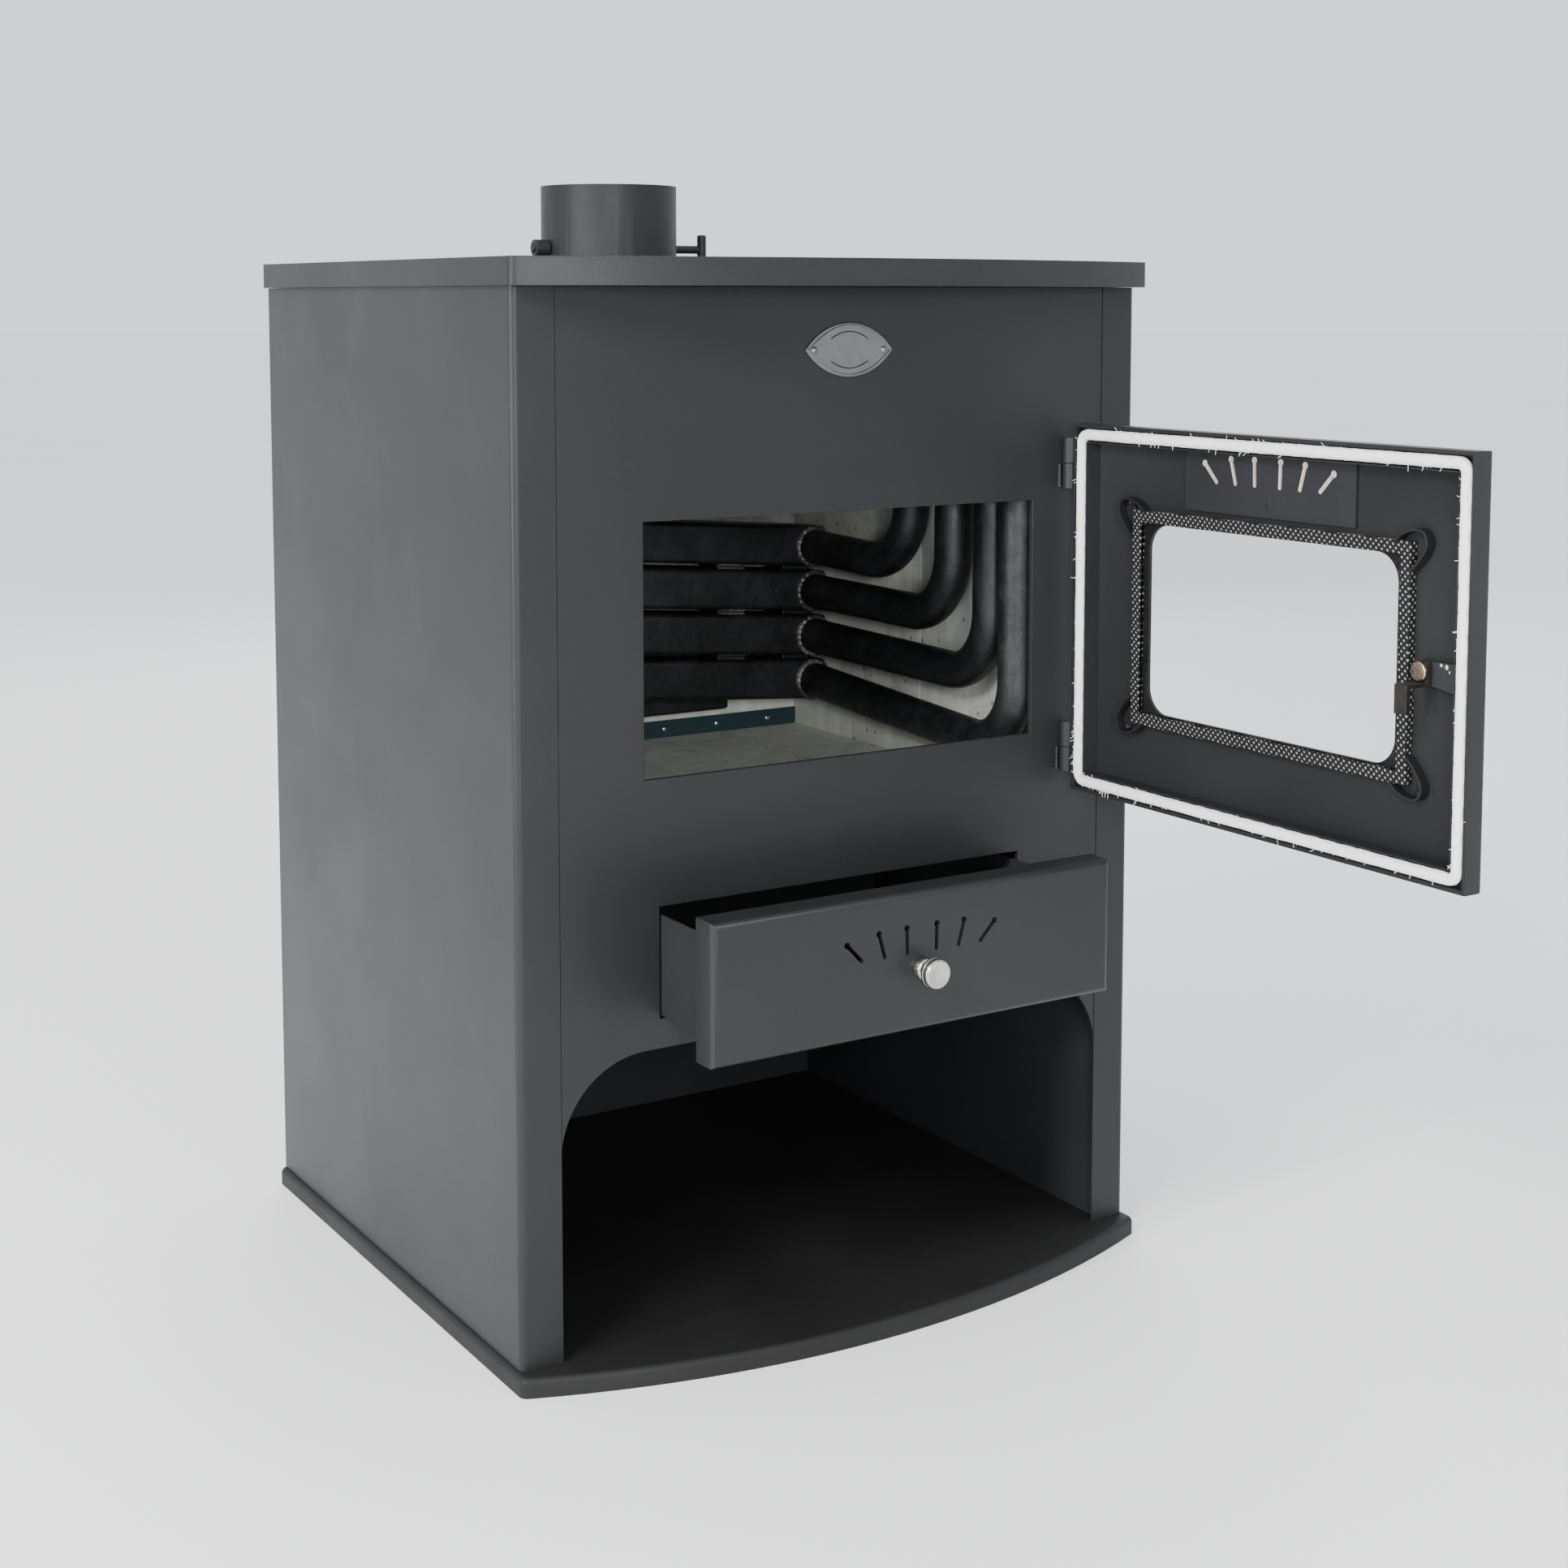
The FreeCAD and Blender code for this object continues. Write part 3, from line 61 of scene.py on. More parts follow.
# ---------------------------------------------------------------- camera and light
def add_camera():
    camera = bpy.data.objects.new("camera", bpy.data.cameras.new("camera"))
    bpy.context.collection.objects.link(camera)
    camera.data.sensor_width = 36
    camera.data.lens = 54.05
    camera.data.shift_y = -0.17
    camera.location = (-1.0707, -1.8675, 0.8508)
    camera.rotation_euler = (math.radians(90 - 5.3), 0, math.radians(-32.14))
    bpy.context.scene.camera = camera


def add_light(name, place, target, size, power):
    lamp = bpy.data.lights.new(name, "AREA")
    lamp.shape = "DISK"
    lamp.size = size
    lamp.energy = power
    light = bpy.data.objects.new(name, lamp)
    light.location = place
    light.rotation_euler = (Vector(target) - Vector(place)).to_track_quat("-Z", "Y").to_euler()
    bpy.context.collection.objects.link(light)


def add_studio():
    world = bpy.data.worlds.new("studio")
    world.use_nodes = True
    world.node_tree.nodes["Background"].inputs["Color"].default_value = (0.93, 0.95, 1.0, 1)
    world.node_tree.nodes["Background"].inputs["Strength"].default_value = 1.45
    bpy.context.scene.world = world
    middle = (0, 0, 0.45)
    add_light("key", (-2.8, -1.6, 2.6), middle, 1.2, 130)
    add_light("front", (-1.1, -2.8, 1.1), (0, -0.1, 0.5), 0.5, 52)
    add_light("back", (1.6, 3.2, 2.4), middle, 2.4, 60)
    add_light("edge", (-3.4, -0.6, 0.9), middle, 0.35, 75)
    bpy.ops.mesh.primitive_circle_add(vertices=96, radius=60, fill_type="NGON")
    floor = bpy.context.object
    floor.name = "floor"
    finish = Finish("pale_floor")
    finish.colour(finish.noise(0.6), (248, 248, 248), (252, 252, 252))
    finish.roughness(finish.noise(2.0), 0.6, 0.7)
    floor.data.materials.append(finish.material)


# ---------------------------------------------------------------- finishes
def linear(colour):
    """A display colour, 0 to 255, as the linear value that a shader takes."""
    values = [c / 255 for c in colour]
    return tuple(v / 12.92 if v < 0.0405 else ((v + 0.055) / 1.055) ** 2.4 for v in values) + (1.0,)


class Finish:
    """A procedural material, built up from textures in the object's own coordinates."""

    def __init__(self, name, metallic=0.0, coat=0.0, specular=0.5):
        self.material = bpy.data.materials.new(name)
        self.material.use_nodes = True
        self.nodes = self.material.node_tree.nodes
        self.shader = self.nodes["Principled BSDF"]
        self.shader.inputs["Metallic"].default_value = metallic
        self.shader.inputs["Coat Weight"].default_value = coat
        self.shader.inputs["Specular IOR Level"].default_value = specular
        self.place = self.nodes.new("ShaderNodeTexCoord").outputs["Object"]
        self.normal = None

    def link(self, source, target):
        self.material.node_tree.links.new(source, target)

    def mapped(self, stretch, turn=(0, 0, 0)):
        mapping = self.nodes.new("ShaderNodeMapping")
        mapping.inputs["Scale"].default_value = stretch
        mapping.inputs["Rotation"].default_value = turn
        self.link(self.place, mapping.inputs["Vector"])
        return mapping.outputs["Vector"]

    def noise(self, scale, detail=3.0, rough=0.55, stretch=(1, 1, 1), distortion=0.0):
        node = self.nodes.new("ShaderNodeTexNoise")
        node.inputs["Scale"].default_value = scale
        node.inputs["Detail"].default_value = detail
        node.inputs["Roughness"].default_value = rough
        node.inputs["Distortion"].default_value = distortion
        self.link(self.mapped(stretch), node.inputs["Vector"])
        return node.outputs["Fac"]

    def cells(self, scale, stretch=(1, 1, 1)):
        node = self.nodes.new("ShaderNodeTexVoronoi")
        node.inputs["Scale"].default_value = scale
        self.link(self.mapped(stretch), node.inputs["Vector"])
        return node.outputs["Distance"]

    def wave(self, scale, axis="X", distortion=0.0, turn=(0, 0, 0)):
        node = self.nodes.new("ShaderNodeTexWave")
        node.bands_direction = axis
        node.inputs["Scale"].default_value = scale
        node.inputs["Distortion"].default_value = distortion
        self.link(self.mapped((1, 1, 1), turn), node.inputs["Vector"])
        return node.outputs["Fac"]

    def math(self, operation, first, second):
        node = self.nodes.new("ShaderNodeMath")
        node.operation = operation
        for socket, value in zip(node.inputs, (first, second)):
            if isinstance(value, (int, float)):
                socket.default_value = value
            else:
                self.link(value, socket)
        return node.outputs[0]

    def range(self, value, low, high, start=0.0, end=1.0):
        node = self.nodes.new("ShaderNodeMapRange")
        node.inputs["From Min"].default_value = start
        node.inputs["From Max"].default_value = end
        node.inputs["To Min"].default_value = low
        node.inputs["To Max"].default_value = high
        self.link(value, node.inputs["Value"])
        return node.outputs["Result"]

    def mix(self, factor, first, second):
        node = self.nodes.new("ShaderNodeMix")
        node.data_type = "RGBA"
        self.link(factor, node.inputs["Factor"])
        for socket, value in ((node.inputs[6], first), (node.inputs[7], second)):
            if isinstance(value, tuple):
                socket.default_value = linear(value)
            else:
                self.link(value, socket)
        return node.outputs[2]

    def colour(self, factor, first, second):
        """Base colour from first to second as the factor goes from about 0.3 to 0.7."""
        self.paint(self.mix(self.range(factor, 0, 1, 0.3, 0.7), first, second))

    def paint(self, colour):
        self.link(colour, self.shader.inputs["Base Color"])
        return colour

    def roughness(self, factor, low, high):
        self.link(self.range(factor, low, high, 0.25, 0.75), self.shader.inputs["Roughness"])

    def bump(self, height, depth, strength=1.0):
        """Relief of the given depth in metres, on top of what is there already."""
        node = self.nodes.new("ShaderNodeBump")
        node.inputs["Distance"].default_value = depth
        node.inputs["Strength"].default_value = strength
        self.link(height, node.inputs["Height"])
        if self.normal:
            self.link(self.normal, node.inputs["Normal"])
        self.normal = node.outputs["Normal"]
        self.link(self.normal, self.shader.inputs["Normal"])


def painted(name, dark, light, rough=(0.38, 0.46), grain=0.0001, specular=0.24):
    """Stove paint: clouded colour, pale flecks, finger marks in the gloss, orange peel, soft dents."""
    finish = Finish(name, specular=specular)
    clouds = finish.mix(finish.range(finish.noise(5, 3), 0, 1, 0.25, 0.75), dark, light)
    flecks = finish.range(finish.noise(1500, 2), 0, 0.35, 0.6, 0.75)
    finish.paint(finish.mix(flecks, clouds, tuple(min(255, c + 22) for c in light)))
    finish.roughness(finish.noise(9, 4, 0.6, distortion=0.3), *rough)
    finish.bump(finish.noise(3.2, 2), 0.0012, 0.3)
    finish.bump(finish.noise(750, 3), grain)
    return finish.material


def milled(name, dark, light, stretch, rough=(0.38, 0.6), marks=0.6):
    """Bare sheet: mill streaks, stains and small dark marks."""
    finish = Finish(name, metallic=0.1)
    streaks = finish.noise(60, 5, 0.7, stretch)
    base = finish.mix(finish.range(streaks, 0, 1, 0.3, 0.7), dark, light)
    stains = finish.range(finish.noise(11, 6, 0.7, distortion=0.8), 0, 0.7, 0.5, 0.8)
    stained = finish.mix(stains, base, tuple(int(c * 0.62) for c in dark))
    spots = finish.range(finish.cells(55), marks, 0, 0.06, 0.16)
    finish.paint(finish.mix(spots, stained, tuple(int(c * 0.35) for c in dark)))
    finish.roughness(finish.noise(40, 4, 0.6, stretch), *rough)
    finish.bump(streaks, 0.00012)
    return finish.material


def turned(name, colour, rough=(0.16, 0.3), tint=None):
    """Machined metal: fine circular and long marks, a little tarnish."""
    finish = Finish(name, metallic=1.0)
    tarnish = finish.noise(45, 5, 0.65, distortion=0.5)
    finish.colour(tarnish, colour, tint or tuple(int(c * 0.82) for c in colour))
    finish.roughness(finish.noise(220, 3), *rough)
    finish.bump(finish.noise(900, 2, 0.5, (1, 1, 4)), 0.00004)
    return finish.material


def sooted(name, dark, light, rough=(0.32, 0.62), depth=0.0005):
    """Boiler steel: black oxide with rough scale and thin grey bloom."""
    finish = Finish(name, metallic=0.25)
    bloom = finish.range(finish.noise(26, 6, 0.7, distortion=0.6), 0, 1, 0.45, 0.75)
    finish.paint(finish.mix(bloom, dark, light))
    finish.roughness(finish.noise(60, 5, 0.7), *rough)
    finish.bump(finish.noise(170, 5, 0.7), depth)
    return finish.material


def rope_fibre():
    finish = Finish("rope_fibre", specular=0.25)
    dirt = finish.range(finish.noise(70, 5, 0.7), 0, 0.5, 0.62, 0.8)
    threads = finish.noise(1400, 2, 0.5)
    base = finish.mix(finish.range(threads, 0, 1, 0.3, 0.7), (214, 217, 211), (240, 242, 238))
    finish.paint(finish.mix(dirt, base, (92, 92, 88)))
    finish.roughness(threads, 0.8, 0.95)
    finish.shader.inputs["Sheen Weight"].default_value = 0.4
    finish.bump(threads, 0.0003)
    return finish.material


def knit_tape():
    """Glass tape: black and white loops on a slant, in two directions."""
    finish = Finish("knit_tape", specular=0.2)
    one = finish.wave(105, "DIAGONAL", 0.8)
    two = finish.wave(120, "DIAGONAL", 0.8, (math.radians(90), 0, 0))
    knit = finish.math("MULTIPLY", one, two)
    white = finish.range(knit, 0, 1, 0.42, 0.66)
    finish.paint(finish.mix(white, (20, 20, 21), (124, 124, 119)))
    finish.roughness(finish.noise(600, 2), 0.8, 0.95)
    finish.bump(knit, 0.0006)
    return finish.material


def clear_glass():
    finish = Finish("stove_glass")
    haze = finish.noise(9, 6, 0.7, distortion=0.8)
    finish.colour(haze, (244, 246, 246), (250, 251, 251))
    finish.roughness(haze, 0.02, 0.09)
    finish.shader.inputs["Transmission Weight"].default_value = 1.0
    finish.shader.inputs["IOR"].default_value = 1.45
    return finish.material


def heat_tinted(name):
    """Zinc-plated steel that heat has turned copper and violet."""
    finish = Finish(name, metallic=1.0)
    shift = finish.noise(38, 4, 0.6, distortion=0.7)
    warm = finish.mix(finish.range(shift, 0, 1, 0.35, 0.65), (150, 132, 118), (196, 168, 140))
    cool = finish.range(finish.noise(75, 3), 0, 0.8, 0.55, 0.8)
    finish.paint(finish.mix(cool, warm, (112, 104, 122)))
    finish.roughness(finish.noise(200, 4), 0.18, 0.36)
    finish.bump(finish.noise(500, 3), 0.00006)
    return finish.material


def make_finishes():
    return {
        "painted_sheet": painted("stove_paint", (28, 29, 30), (34, 35, 36)),
        "base_paint": painted("base_paint", (22, 22, 22), (30, 30, 30), (0.5, 0.66)),
        "painted_plate": painted("matt_paint", (27, 28, 30), (37, 38, 41), (0.5, 0.66)),
        "bare_plate": milled("mill_steel", (176, 179, 170), (206, 208, 198), (1, 1, 0.12)),
        "blued_strip": painted("teal_paint", (26, 44, 48), (40, 62, 66), (0.35, 0.5)),
        "bright_rivet": turned("bright_steel", (214, 214, 210)),
        "boiler_tube": sooted("boiler_black", (14, 15, 17), (40, 41, 44)),
        "socket_steel": turned("socket_steel", (150, 150, 147), (0.28, 0.42)),
        "cast_grate": sooted("cast_iron", (40, 40, 41), (74, 72, 70), (0.55, 0.75), 0.0009),
        "flue_paint": painted("flue_paint", (28, 29, 31), (38, 39, 41), (0.42, 0.55)),
        "badge_metal": turned("badge_steel", (124, 126, 126), (0.36, 0.46), (112, 114, 114)),
        "hinge_steel": painted("hinge_paint", (28, 29, 31), (40, 41, 43), (0.36, 0.5)),
        "rope_gasket": rope_fibre(),
        "glass_tape": knit_tape(),
        "window_glass": clear_glass(),
        "clip_steel": painted("black_paint", (18, 18, 19), (28, 28, 30), (0.42, 0.56)),
        "latch_steel": heat_tinted("tinted_steel"),
        "knob_nickel": turned("satin_nickel", (202, 201, 196), (0.2, 0.32)),
        "weld": sooted("weld_bead", (58, 56, 56), (140, 136, 130), (0.16, 0.36), 0.00025),
        # slot walls: unpainted cut steel, lightened to a pale cream as a painted highlight for the bright
        # slots
        "cut_edge_painted_highlight": milled("cut_edge_painted_highlight", (214, 208, 194), (236, 231, 218), (1, 1, 1)),
        "burnt_steel": sooted("burnt_steel", (26, 24, 23), (60, 52, 45), (0.34, 0.5), 0.0002),
    }


# ---------------------------------------------------------------- pieces
def add_piece(name, mesh, slot, body, replaced=(), finish=None, smooth=40):
    """A new object on a body, with the finish of its record slot unless another is given; the CAD nodes that
    it stands for are hidden.
    """
    mesh.set_sharp_from_angle(angle=math.radians(smooth))
    piece = bpy.data.objects.new(name, mesh)
    bpy.context.collection.objects.link(piece)
    mesh.materials.clear()
    mesh.materials.append(FINISHES[finish or slot])
    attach(piece, body)
    if replaced:
        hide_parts(*replaced)
    return piece


def mesh_from(name, build):
    """A mesh that the function builds in a bmesh, with its faces turned outwards."""
    work = bmesh.new()
    build(work)
    bmesh.ops.remove_doubles(work, verts=work.verts, dist=1e-6)
    bmesh.ops.recalc_face_normals(work, faces=work.faces)
    mesh = bpy.data.meshes.new(name)
    work.to_mesh(mesh)
    work.free()
    mesh.shade_smooth()
    return mesh


def round_edges(piece, width, segments=2):
    bevel = piece.modifiers.new("edges", "BEVEL")
    bevel.width = width
    bevel.segments = segments
    bevel.limit_method = "ANGLE"
    bevel.angle_limit = CREASE
    bevel.harden_normals = True


def soften(node, width, wide=0.0, wide_edges=None, segments=2, finish=None, highlight_cut_faces=None):
    """The CAD shape with its edges rounded: all sharp ones by width, the chosen ones by wide.

    The faces that the face test picks show unpainted cut steel, lightened to a pale cream as a painted
    highlight for the bright slot walls.
    """
    work = bmesh.new()
    work.from_mesh(frame["nodes"][node].data)
    bmesh.ops.remove_doubles(work, verts=work.verts, dist=2e-6)
    bmesh.ops.dissolve_limit(work, angle_limit=math.radians(0.6), verts=work.verts, edges=work.edges)
    work.normal_update()
    if wide_edges:
        chosen = [e for e in work.edges if len(e.link_faces) == 2 and e.calc_face_angle(0) > 0.6
                  and wide_edges(sum((v.co for v in e.verts), Vector()) / 2)]
        bmesh.ops.bevel(work, geom=chosen, offset=wide, segments=5, profile=0.5, affect="EDGES",
                        clamp_overlap=True)
        work.normal_update()
    work.faces.index_update()
    bare_and_highlighted = [face.index for face in work.faces
            if highlight_cut_faces and highlight_cut_faces(face.calc_center_median(), face.normal)]
    mesh = bpy.data.meshes.new(node + "_soft")
    work.to_mesh(mesh)
    work.free()
    mesh.shade_smooth()
    piece = add_piece(node + "_soft", mesh, SLOT_OF[node], BODY_OF[node], [node], finish)
    # the chosen slot walls get the pale cut-steel finish: partly unpainted steel, partly a painted highlight
    if bare_and_highlighted:
        mesh.materials.append(FINISHES["cut_edge_painted_highlight"])
        for index in bare_and_highlighted:
            mesh.polygons[index].material_index = 1
    round_edges(piece, width, segments)


def lathe(work, profile, place, axis, steps=48):
    """A turned shape: profile holds (distance along the axis, radius) pairs."""
    axis = Vector(axis)
    side = axis.orthogonal().normalized()
    other = axis.cross(side)
    rings = []
    for along, radius in profile:
        ring = []
        for step in range(steps):
            angle = math.tau * step / steps
            ring.append(work.verts.new(Vector(place) + axis * along
                                       + (side * math.cos(angle) + other * math.sin(angle)) * radius))
        rings.append(ring)
    for first, second in zip(rings, rings[1:]):
        for i in range(steps):
            j = (i + 1) % steps
            work.faces.new((first[i], first[j], second[j], second[i]))
    work.faces.new(rings[0][::-1])
    work.faces.new(rings[-1])


def dome(work, place, axis, radius, height, steps=20, rings=5):
    """A rivet's or a screw's round head."""
    profile = [(height * math.sin(a), radius * math.cos(a))
               for a in (math.pi / 2 * i / rings for i in range(rings))]
    lathe(work, [(0, radius * 0.9)] + profile + [(height, radius * 0.04)], place, axis, steps)


def tube(work, points, radius, sides=8, closed=False, ripple=None):
    """A round bar along the points; ripple(i, angle) scales its radius."""
    count = len(points)
    rings = []
    side = None
    for i, point in enumerate(points):
        ahead = points[(i + 1) % count] if closed or i < count - 1 else point
        behind = points[i - 1] if closed or i > 0 else point
        along = (ahead - behind).normalized()
        if side is None:
            side = along.orthogonal().normalized()
        side = (side - along * side.dot(along)).normalized()
        other = along.cross(side)
        ring = []
        for k in range(sides):
            angle = math.tau * k / sides
            size = radius * (ripple(i, angle) if ripple else 1)
            ring.append(work.verts.new(point + (side * math.cos(angle) + other * math.sin(angle)) * size))
        rings.append(ring)
    pairs = list(zip(rings, rings[1:]))
    if closed:
        pairs.append((rings[-1], rings[0]))
    for first, second in pairs:
        for k in range(sides):
            m = (k + 1) % sides
            work.faces.new((first[k], first[m], second[m], second[k]))
    if not closed:
        work.faces.new(rings[0][::-1])
        work.faces.new(rings[-1])


def rounded_rectangle(middle, half_a, half_b, radius, axis_a, axis_b, step):
    """Evenly spaced points round a rectangle with round corners."""
    corners = ((1, 1, 0), (-1, 1, 1), (-1, -1, 2), (1, -1, 3))
    outline = []
    for sign_a, sign_b, quarter in corners:
        centre = (sign_a * (half_a - radius), sign_b * (half_b - radius))
        for part in range(13):
            angle = math.pi / 2 * (quarter + part / 12)
            outline.append(Vector((centre[0] + radius * math.cos(angle),
                                   centre[1] + radius * math.sin(angle))))
    points = []
    for start, end in zip(outline, outline[1:] + outline[:1]):
        pieces = max(1, round((end - start).length / step))
        points += [start.lerp(end, i / pieces) for i in range(pieces)]
    return [Vector(middle) + Vector(axis_a) * p.x + Vector(axis_b) * p.y for p in points]


def bead(work, points, radius, pitch=0.0035):
    """A weld run: overlapping scales along a line, a little uneven."""
    path = []
    for start, end in zip(points, points[1:]):
        pieces = max(2, round((end - start).length / (pitch / 4)))
        path += [start.lerp(end, i / pieces) for i in range(pieces)]
    path.append(points[-1])
    phase = random.random()
    sizes = [random.uniform(0.85, 1.12) for _ in range(len(path) // 4 + 2)]
    tube(work, path, radius, 8, False,
         lambda i, angle: sizes[i // 4] * (0.78 + 0.3 * abs(math.sin(math.pi * (i / 4 + phase)))))


def circle(middle, radius, axis, steps=36):
    side = Vector(axis).orthogonal().normalized()
    other = Vector(axis).cross(side)
    angles = [math.tau * i / steps for i in range(steps + 1)]
    return [Vector(middle) + (side * math.cos(angle) + other * math.sin(angle)) * radius for angle in angles]


def folded_sheet(work, path, thickness, place, levels):
    """A bent strip: path is its middle line in a plane, place(point, level) puts it in space."""
    outline = []
    for offset in (thickness / 2, -thickness / 2):
        line = []
        for i, point in enumerate(path):
            along = (path[min(i + 1, len(path) - 1)] - path[max(i - 1, 0)]).normalized()
            line.append(point + Vector((along.y, -along.x)) * offset)
        outline += line if offset > 0 else line[::-1]
    rings = [[work.verts.new(place(p, level)) for p in outline] for level in levels]
    count = len(outline)
    for first, second in zip(rings, rings[1:]):
        for i in range(count):
            j = (i + 1) % count
            work.faces.new((first[i], first[j], second[j], second[i]))
    for ring in (rings[0], rings[-1]):
        for i in range(count // 2 - 1):
            work.faces.new((ring[i], ring[i + 1], ring[count - 2 - i], ring[count - 1 - i]))


def curved(points, steps=6):
    """A smooth line through the points."""
    ends = [points[0]] + list(points) + [points[-1]]
    line = []
    for a, b, c, d in zip(ends, ends[1:], ends[2:], ends[3:]):
        for i in range(steps):
            t = i / steps
            line.append((b * 2 + (c - a) * t + (a * 2 - b * 5 + c * 4 - d) * t * t
                         + (b * 3 - a - c * 3 + d) * t * t * t) / 2)
    return line + [points[-1]]


# ---------------------------------------------------------------- the casing
def side_jacket(node, sign):
    """A folded side sheet: front flange, side and rear flange, with round bends."""
    lo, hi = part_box(node)
    sheet_half, bend, front_flange = 0.001, 0.005, 0.0365
    outside = max(abs(lo.x), abs(hi.x)) - sheet_half
    inner = min(abs(lo.x), abs(hi.x))
    front, back = lo.y + sheet_half, hi.y - sheet_half
    path = [Vector((outside + sheet_half - front_flange, front))]
    for centre, start in (((outside - bend, front + bend), -90), ((outside - bend, back - bend), 0)):
        for i in range(9):
            angle = math.radians(start + 90 * i / 8)
            path.append(Vector((centre[0] + bend * math.cos(angle), centre[1] + bend * math.sin(angle))))
    path.append(Vector((inner, back)))

    def build(work):
        folded_sheet(work, path, 2 * sheet_half, lambda p, level: (sign * p.x, p.y, level),
                     [lo.z + 0.0002, lo.z + 0.0008, hi.z - 0.0008, hi.z - 0.0002])

    add_piece(node + "_folded", mesh_from(node, build), SLOT_OF[node], BODY_OF[node], [node], smooth=50)


def make_casing():
    top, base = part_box("top_plate"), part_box("base_plate")
    inner_reach = 0.12  # edges nearer to the middle, at the front of the collar's hole, stay sharp
    soften("top_plate", 0.0008, 0.005, lambda p: p.z > top[1].z - FLAT and p.xy.length > inner_reach)
    soften("base_plate", 0.0008, 0.005, lambda p: p.z > base[1].z - FLAT, finish="base_paint")
    side_jacket("jacket_left", -1)
    side_jacket("jacket_right", 1)
    for node, width in (("front_panel", 0.0008), ("rear_panel", 0.0005), ("base_stiffeners", 0.0008),
                        ("body_side_left", 0.0005), ("body_side_right", 0.0005), ("body_rear", 0.0005),
                        ("body_top", 0.0005), ("ash_shelf", 0.0006)):
        soften(node, width)


def make_rear_screws():
    """Self-tapping screws round the rear panel."""
    lo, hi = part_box("rear_panel")
    inset = 0.014
    levels = [lo.z + 0.03 + (hi.z - lo.z - 0.06) * i / 5 for i in range(6)]
    places = [(x, z) for x in (lo.x + inset, hi.x - inset) for z in levels]
    places += [(x, z) for x in (-0.08, 0.08) for z in (lo.z + 0.014, hi.z - 0.014)]

    def build(work):
        for x, z in places:
            dome(work, (x, hi.y, z), Y, 0.0042, 0.0024)
            angle = random.uniform(0, math.pi)
            for turn in (angle, angle + math.pi / 2):
                along = Vector((math.cos(turn), 0, math.sin(turn))) * 0.0022
                centre = Vector((x, hi.y + 0.0021, z))
                tube(work, [centre - along, centre + along], 0.0005, 6)

    add_piece("rear_screws", mesh_from("rear_screws", build), "bright_rivet", "stove")


# ---------------------------------------------------------------- firebox
def make_firebox():
    for node, width in (("firebox_floor", 0.0008), ("grate", 0.0014), ("liner_left", 0.0006),
                        ("liner_right", 0.0006), ("liner_rear", 0.0006), ("floor_strip", 0.0006),
                        ("baffle", 0.001), ("drawer_runners", 0.0006), ("top_manifolds", 0.003),
                        ("lower_header", 0.003), ("tube_links", 0.001), ("water_sockets", 0.0008)):
        soften(node, width)


def make_strip_rivets():
    lo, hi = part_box("strip_rivets")
    radius = (hi.z - lo.z) / 2
    count = 7

    def build(work):
        for i in range(count):
            x = lo.x + radius + (hi.x - lo.x - 2 * radius) * i / (count - 1)
            dome(work, (x, hi.y, (lo.z + hi.z) / 2), -Y, radius, hi.y - lo.y)

    add_piece("strip_rivet_heads", mesh_from("strip_rivets", build), "bright_rivet", "stove",
              ["strip_rivets"])


def make_welds():
    """Weld runs round the wall pipes, and along the tube links and the hinges."""
    pipe_lo, pipe_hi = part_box("right_pipe_1")
    pipe_x = (pipe_lo.x + pipe_hi.x) / 2
    radius = (pipe_hi.x - pipe_lo.x) / 2
    left_pipes_back = 0.01
    link_x = 0.102

    def build(work):
        for number in range(1, 5):
            lo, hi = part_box(f"water_tube_{number}")
            for sign in (-1, 1):
                level = (lo.z + hi.z) / 2 - sign * pipe_x * TUBE_FALL
                bead(work, circle((sign * pipe_x, lo.y, level), radius + 0.001, Y), 0.0032, 0.005)
            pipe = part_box(f"right_pipe_{number}")
            for sign in (-1, 1):
                back = 0.0 if sign > 0 else left_pipes_back
                top = (sign * pipe_x, pipe[0].y + radius + back, pipe[1].z)
                bead(work, circle(top, radius + 0.001, Z), 0.0022)
        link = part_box("tube_links")
        tubes = [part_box(f"water_tube_{n}") for n in (1, 2, 3, 4)]
        for upper, lower in zip(tubes, tubes[1:]):
            level = (upper[0].z + upper[1].z + lower[0].z + lower[1].z) / 4
            for x in (-link_x, link_x):
                for up in (-0.0022, 0.0022):
                    centre = Vector((x, link[0].y - 0.0002, level - x * TUBE_FALL + up))
                    along = Vector((0.015, 0, -0.015 * TUBE_FALL))
                    bead(work, [centre - along, centre + along], 0.0018)

    add_piece("tube_welds", mesh_from("tube_welds", build), "boiler_tube", "stove", finish="weld")

    def hinge_runs(work):
        lo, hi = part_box("hinge_frame_halves")
        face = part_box("front_panel")[0].y - 0.0008
        for low in (lo.z, hi.z - 0.022):
            for side in (-1, 1):
                x = (lo.x + hi.x) / 2 + side * 0.0052
                bead(work, [Vector((x, face, low + 0.001)), Vector((x, face, low + 0.021))], 0.0014)

    add_piece("hinge_welds", mesh_from("hinge_welds", hinge_runs), "hinge_steel", "stove")


# ---------------------------------------------------------------- flue and badge
def make_flue():
    soften("flue_collar", 0.0008)
    soften("damper_handle", 0.0016, segments=3)
    soften("damper_spindle", 0.0006)
    soften("damper_disc", 0.0005)
    lo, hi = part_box("flue_collar")
    middle = (lo + hi) / 2

    def build(work):
        ring = circle((middle.x, middle.y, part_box("top_plate")[1].z + 0.0006), 0.0662, Z, 90)
        bead(work, ring, 0.0016)

    add_piece("collar_weld", mesh_from("collar_weld", build), "flue_paint", "stove")


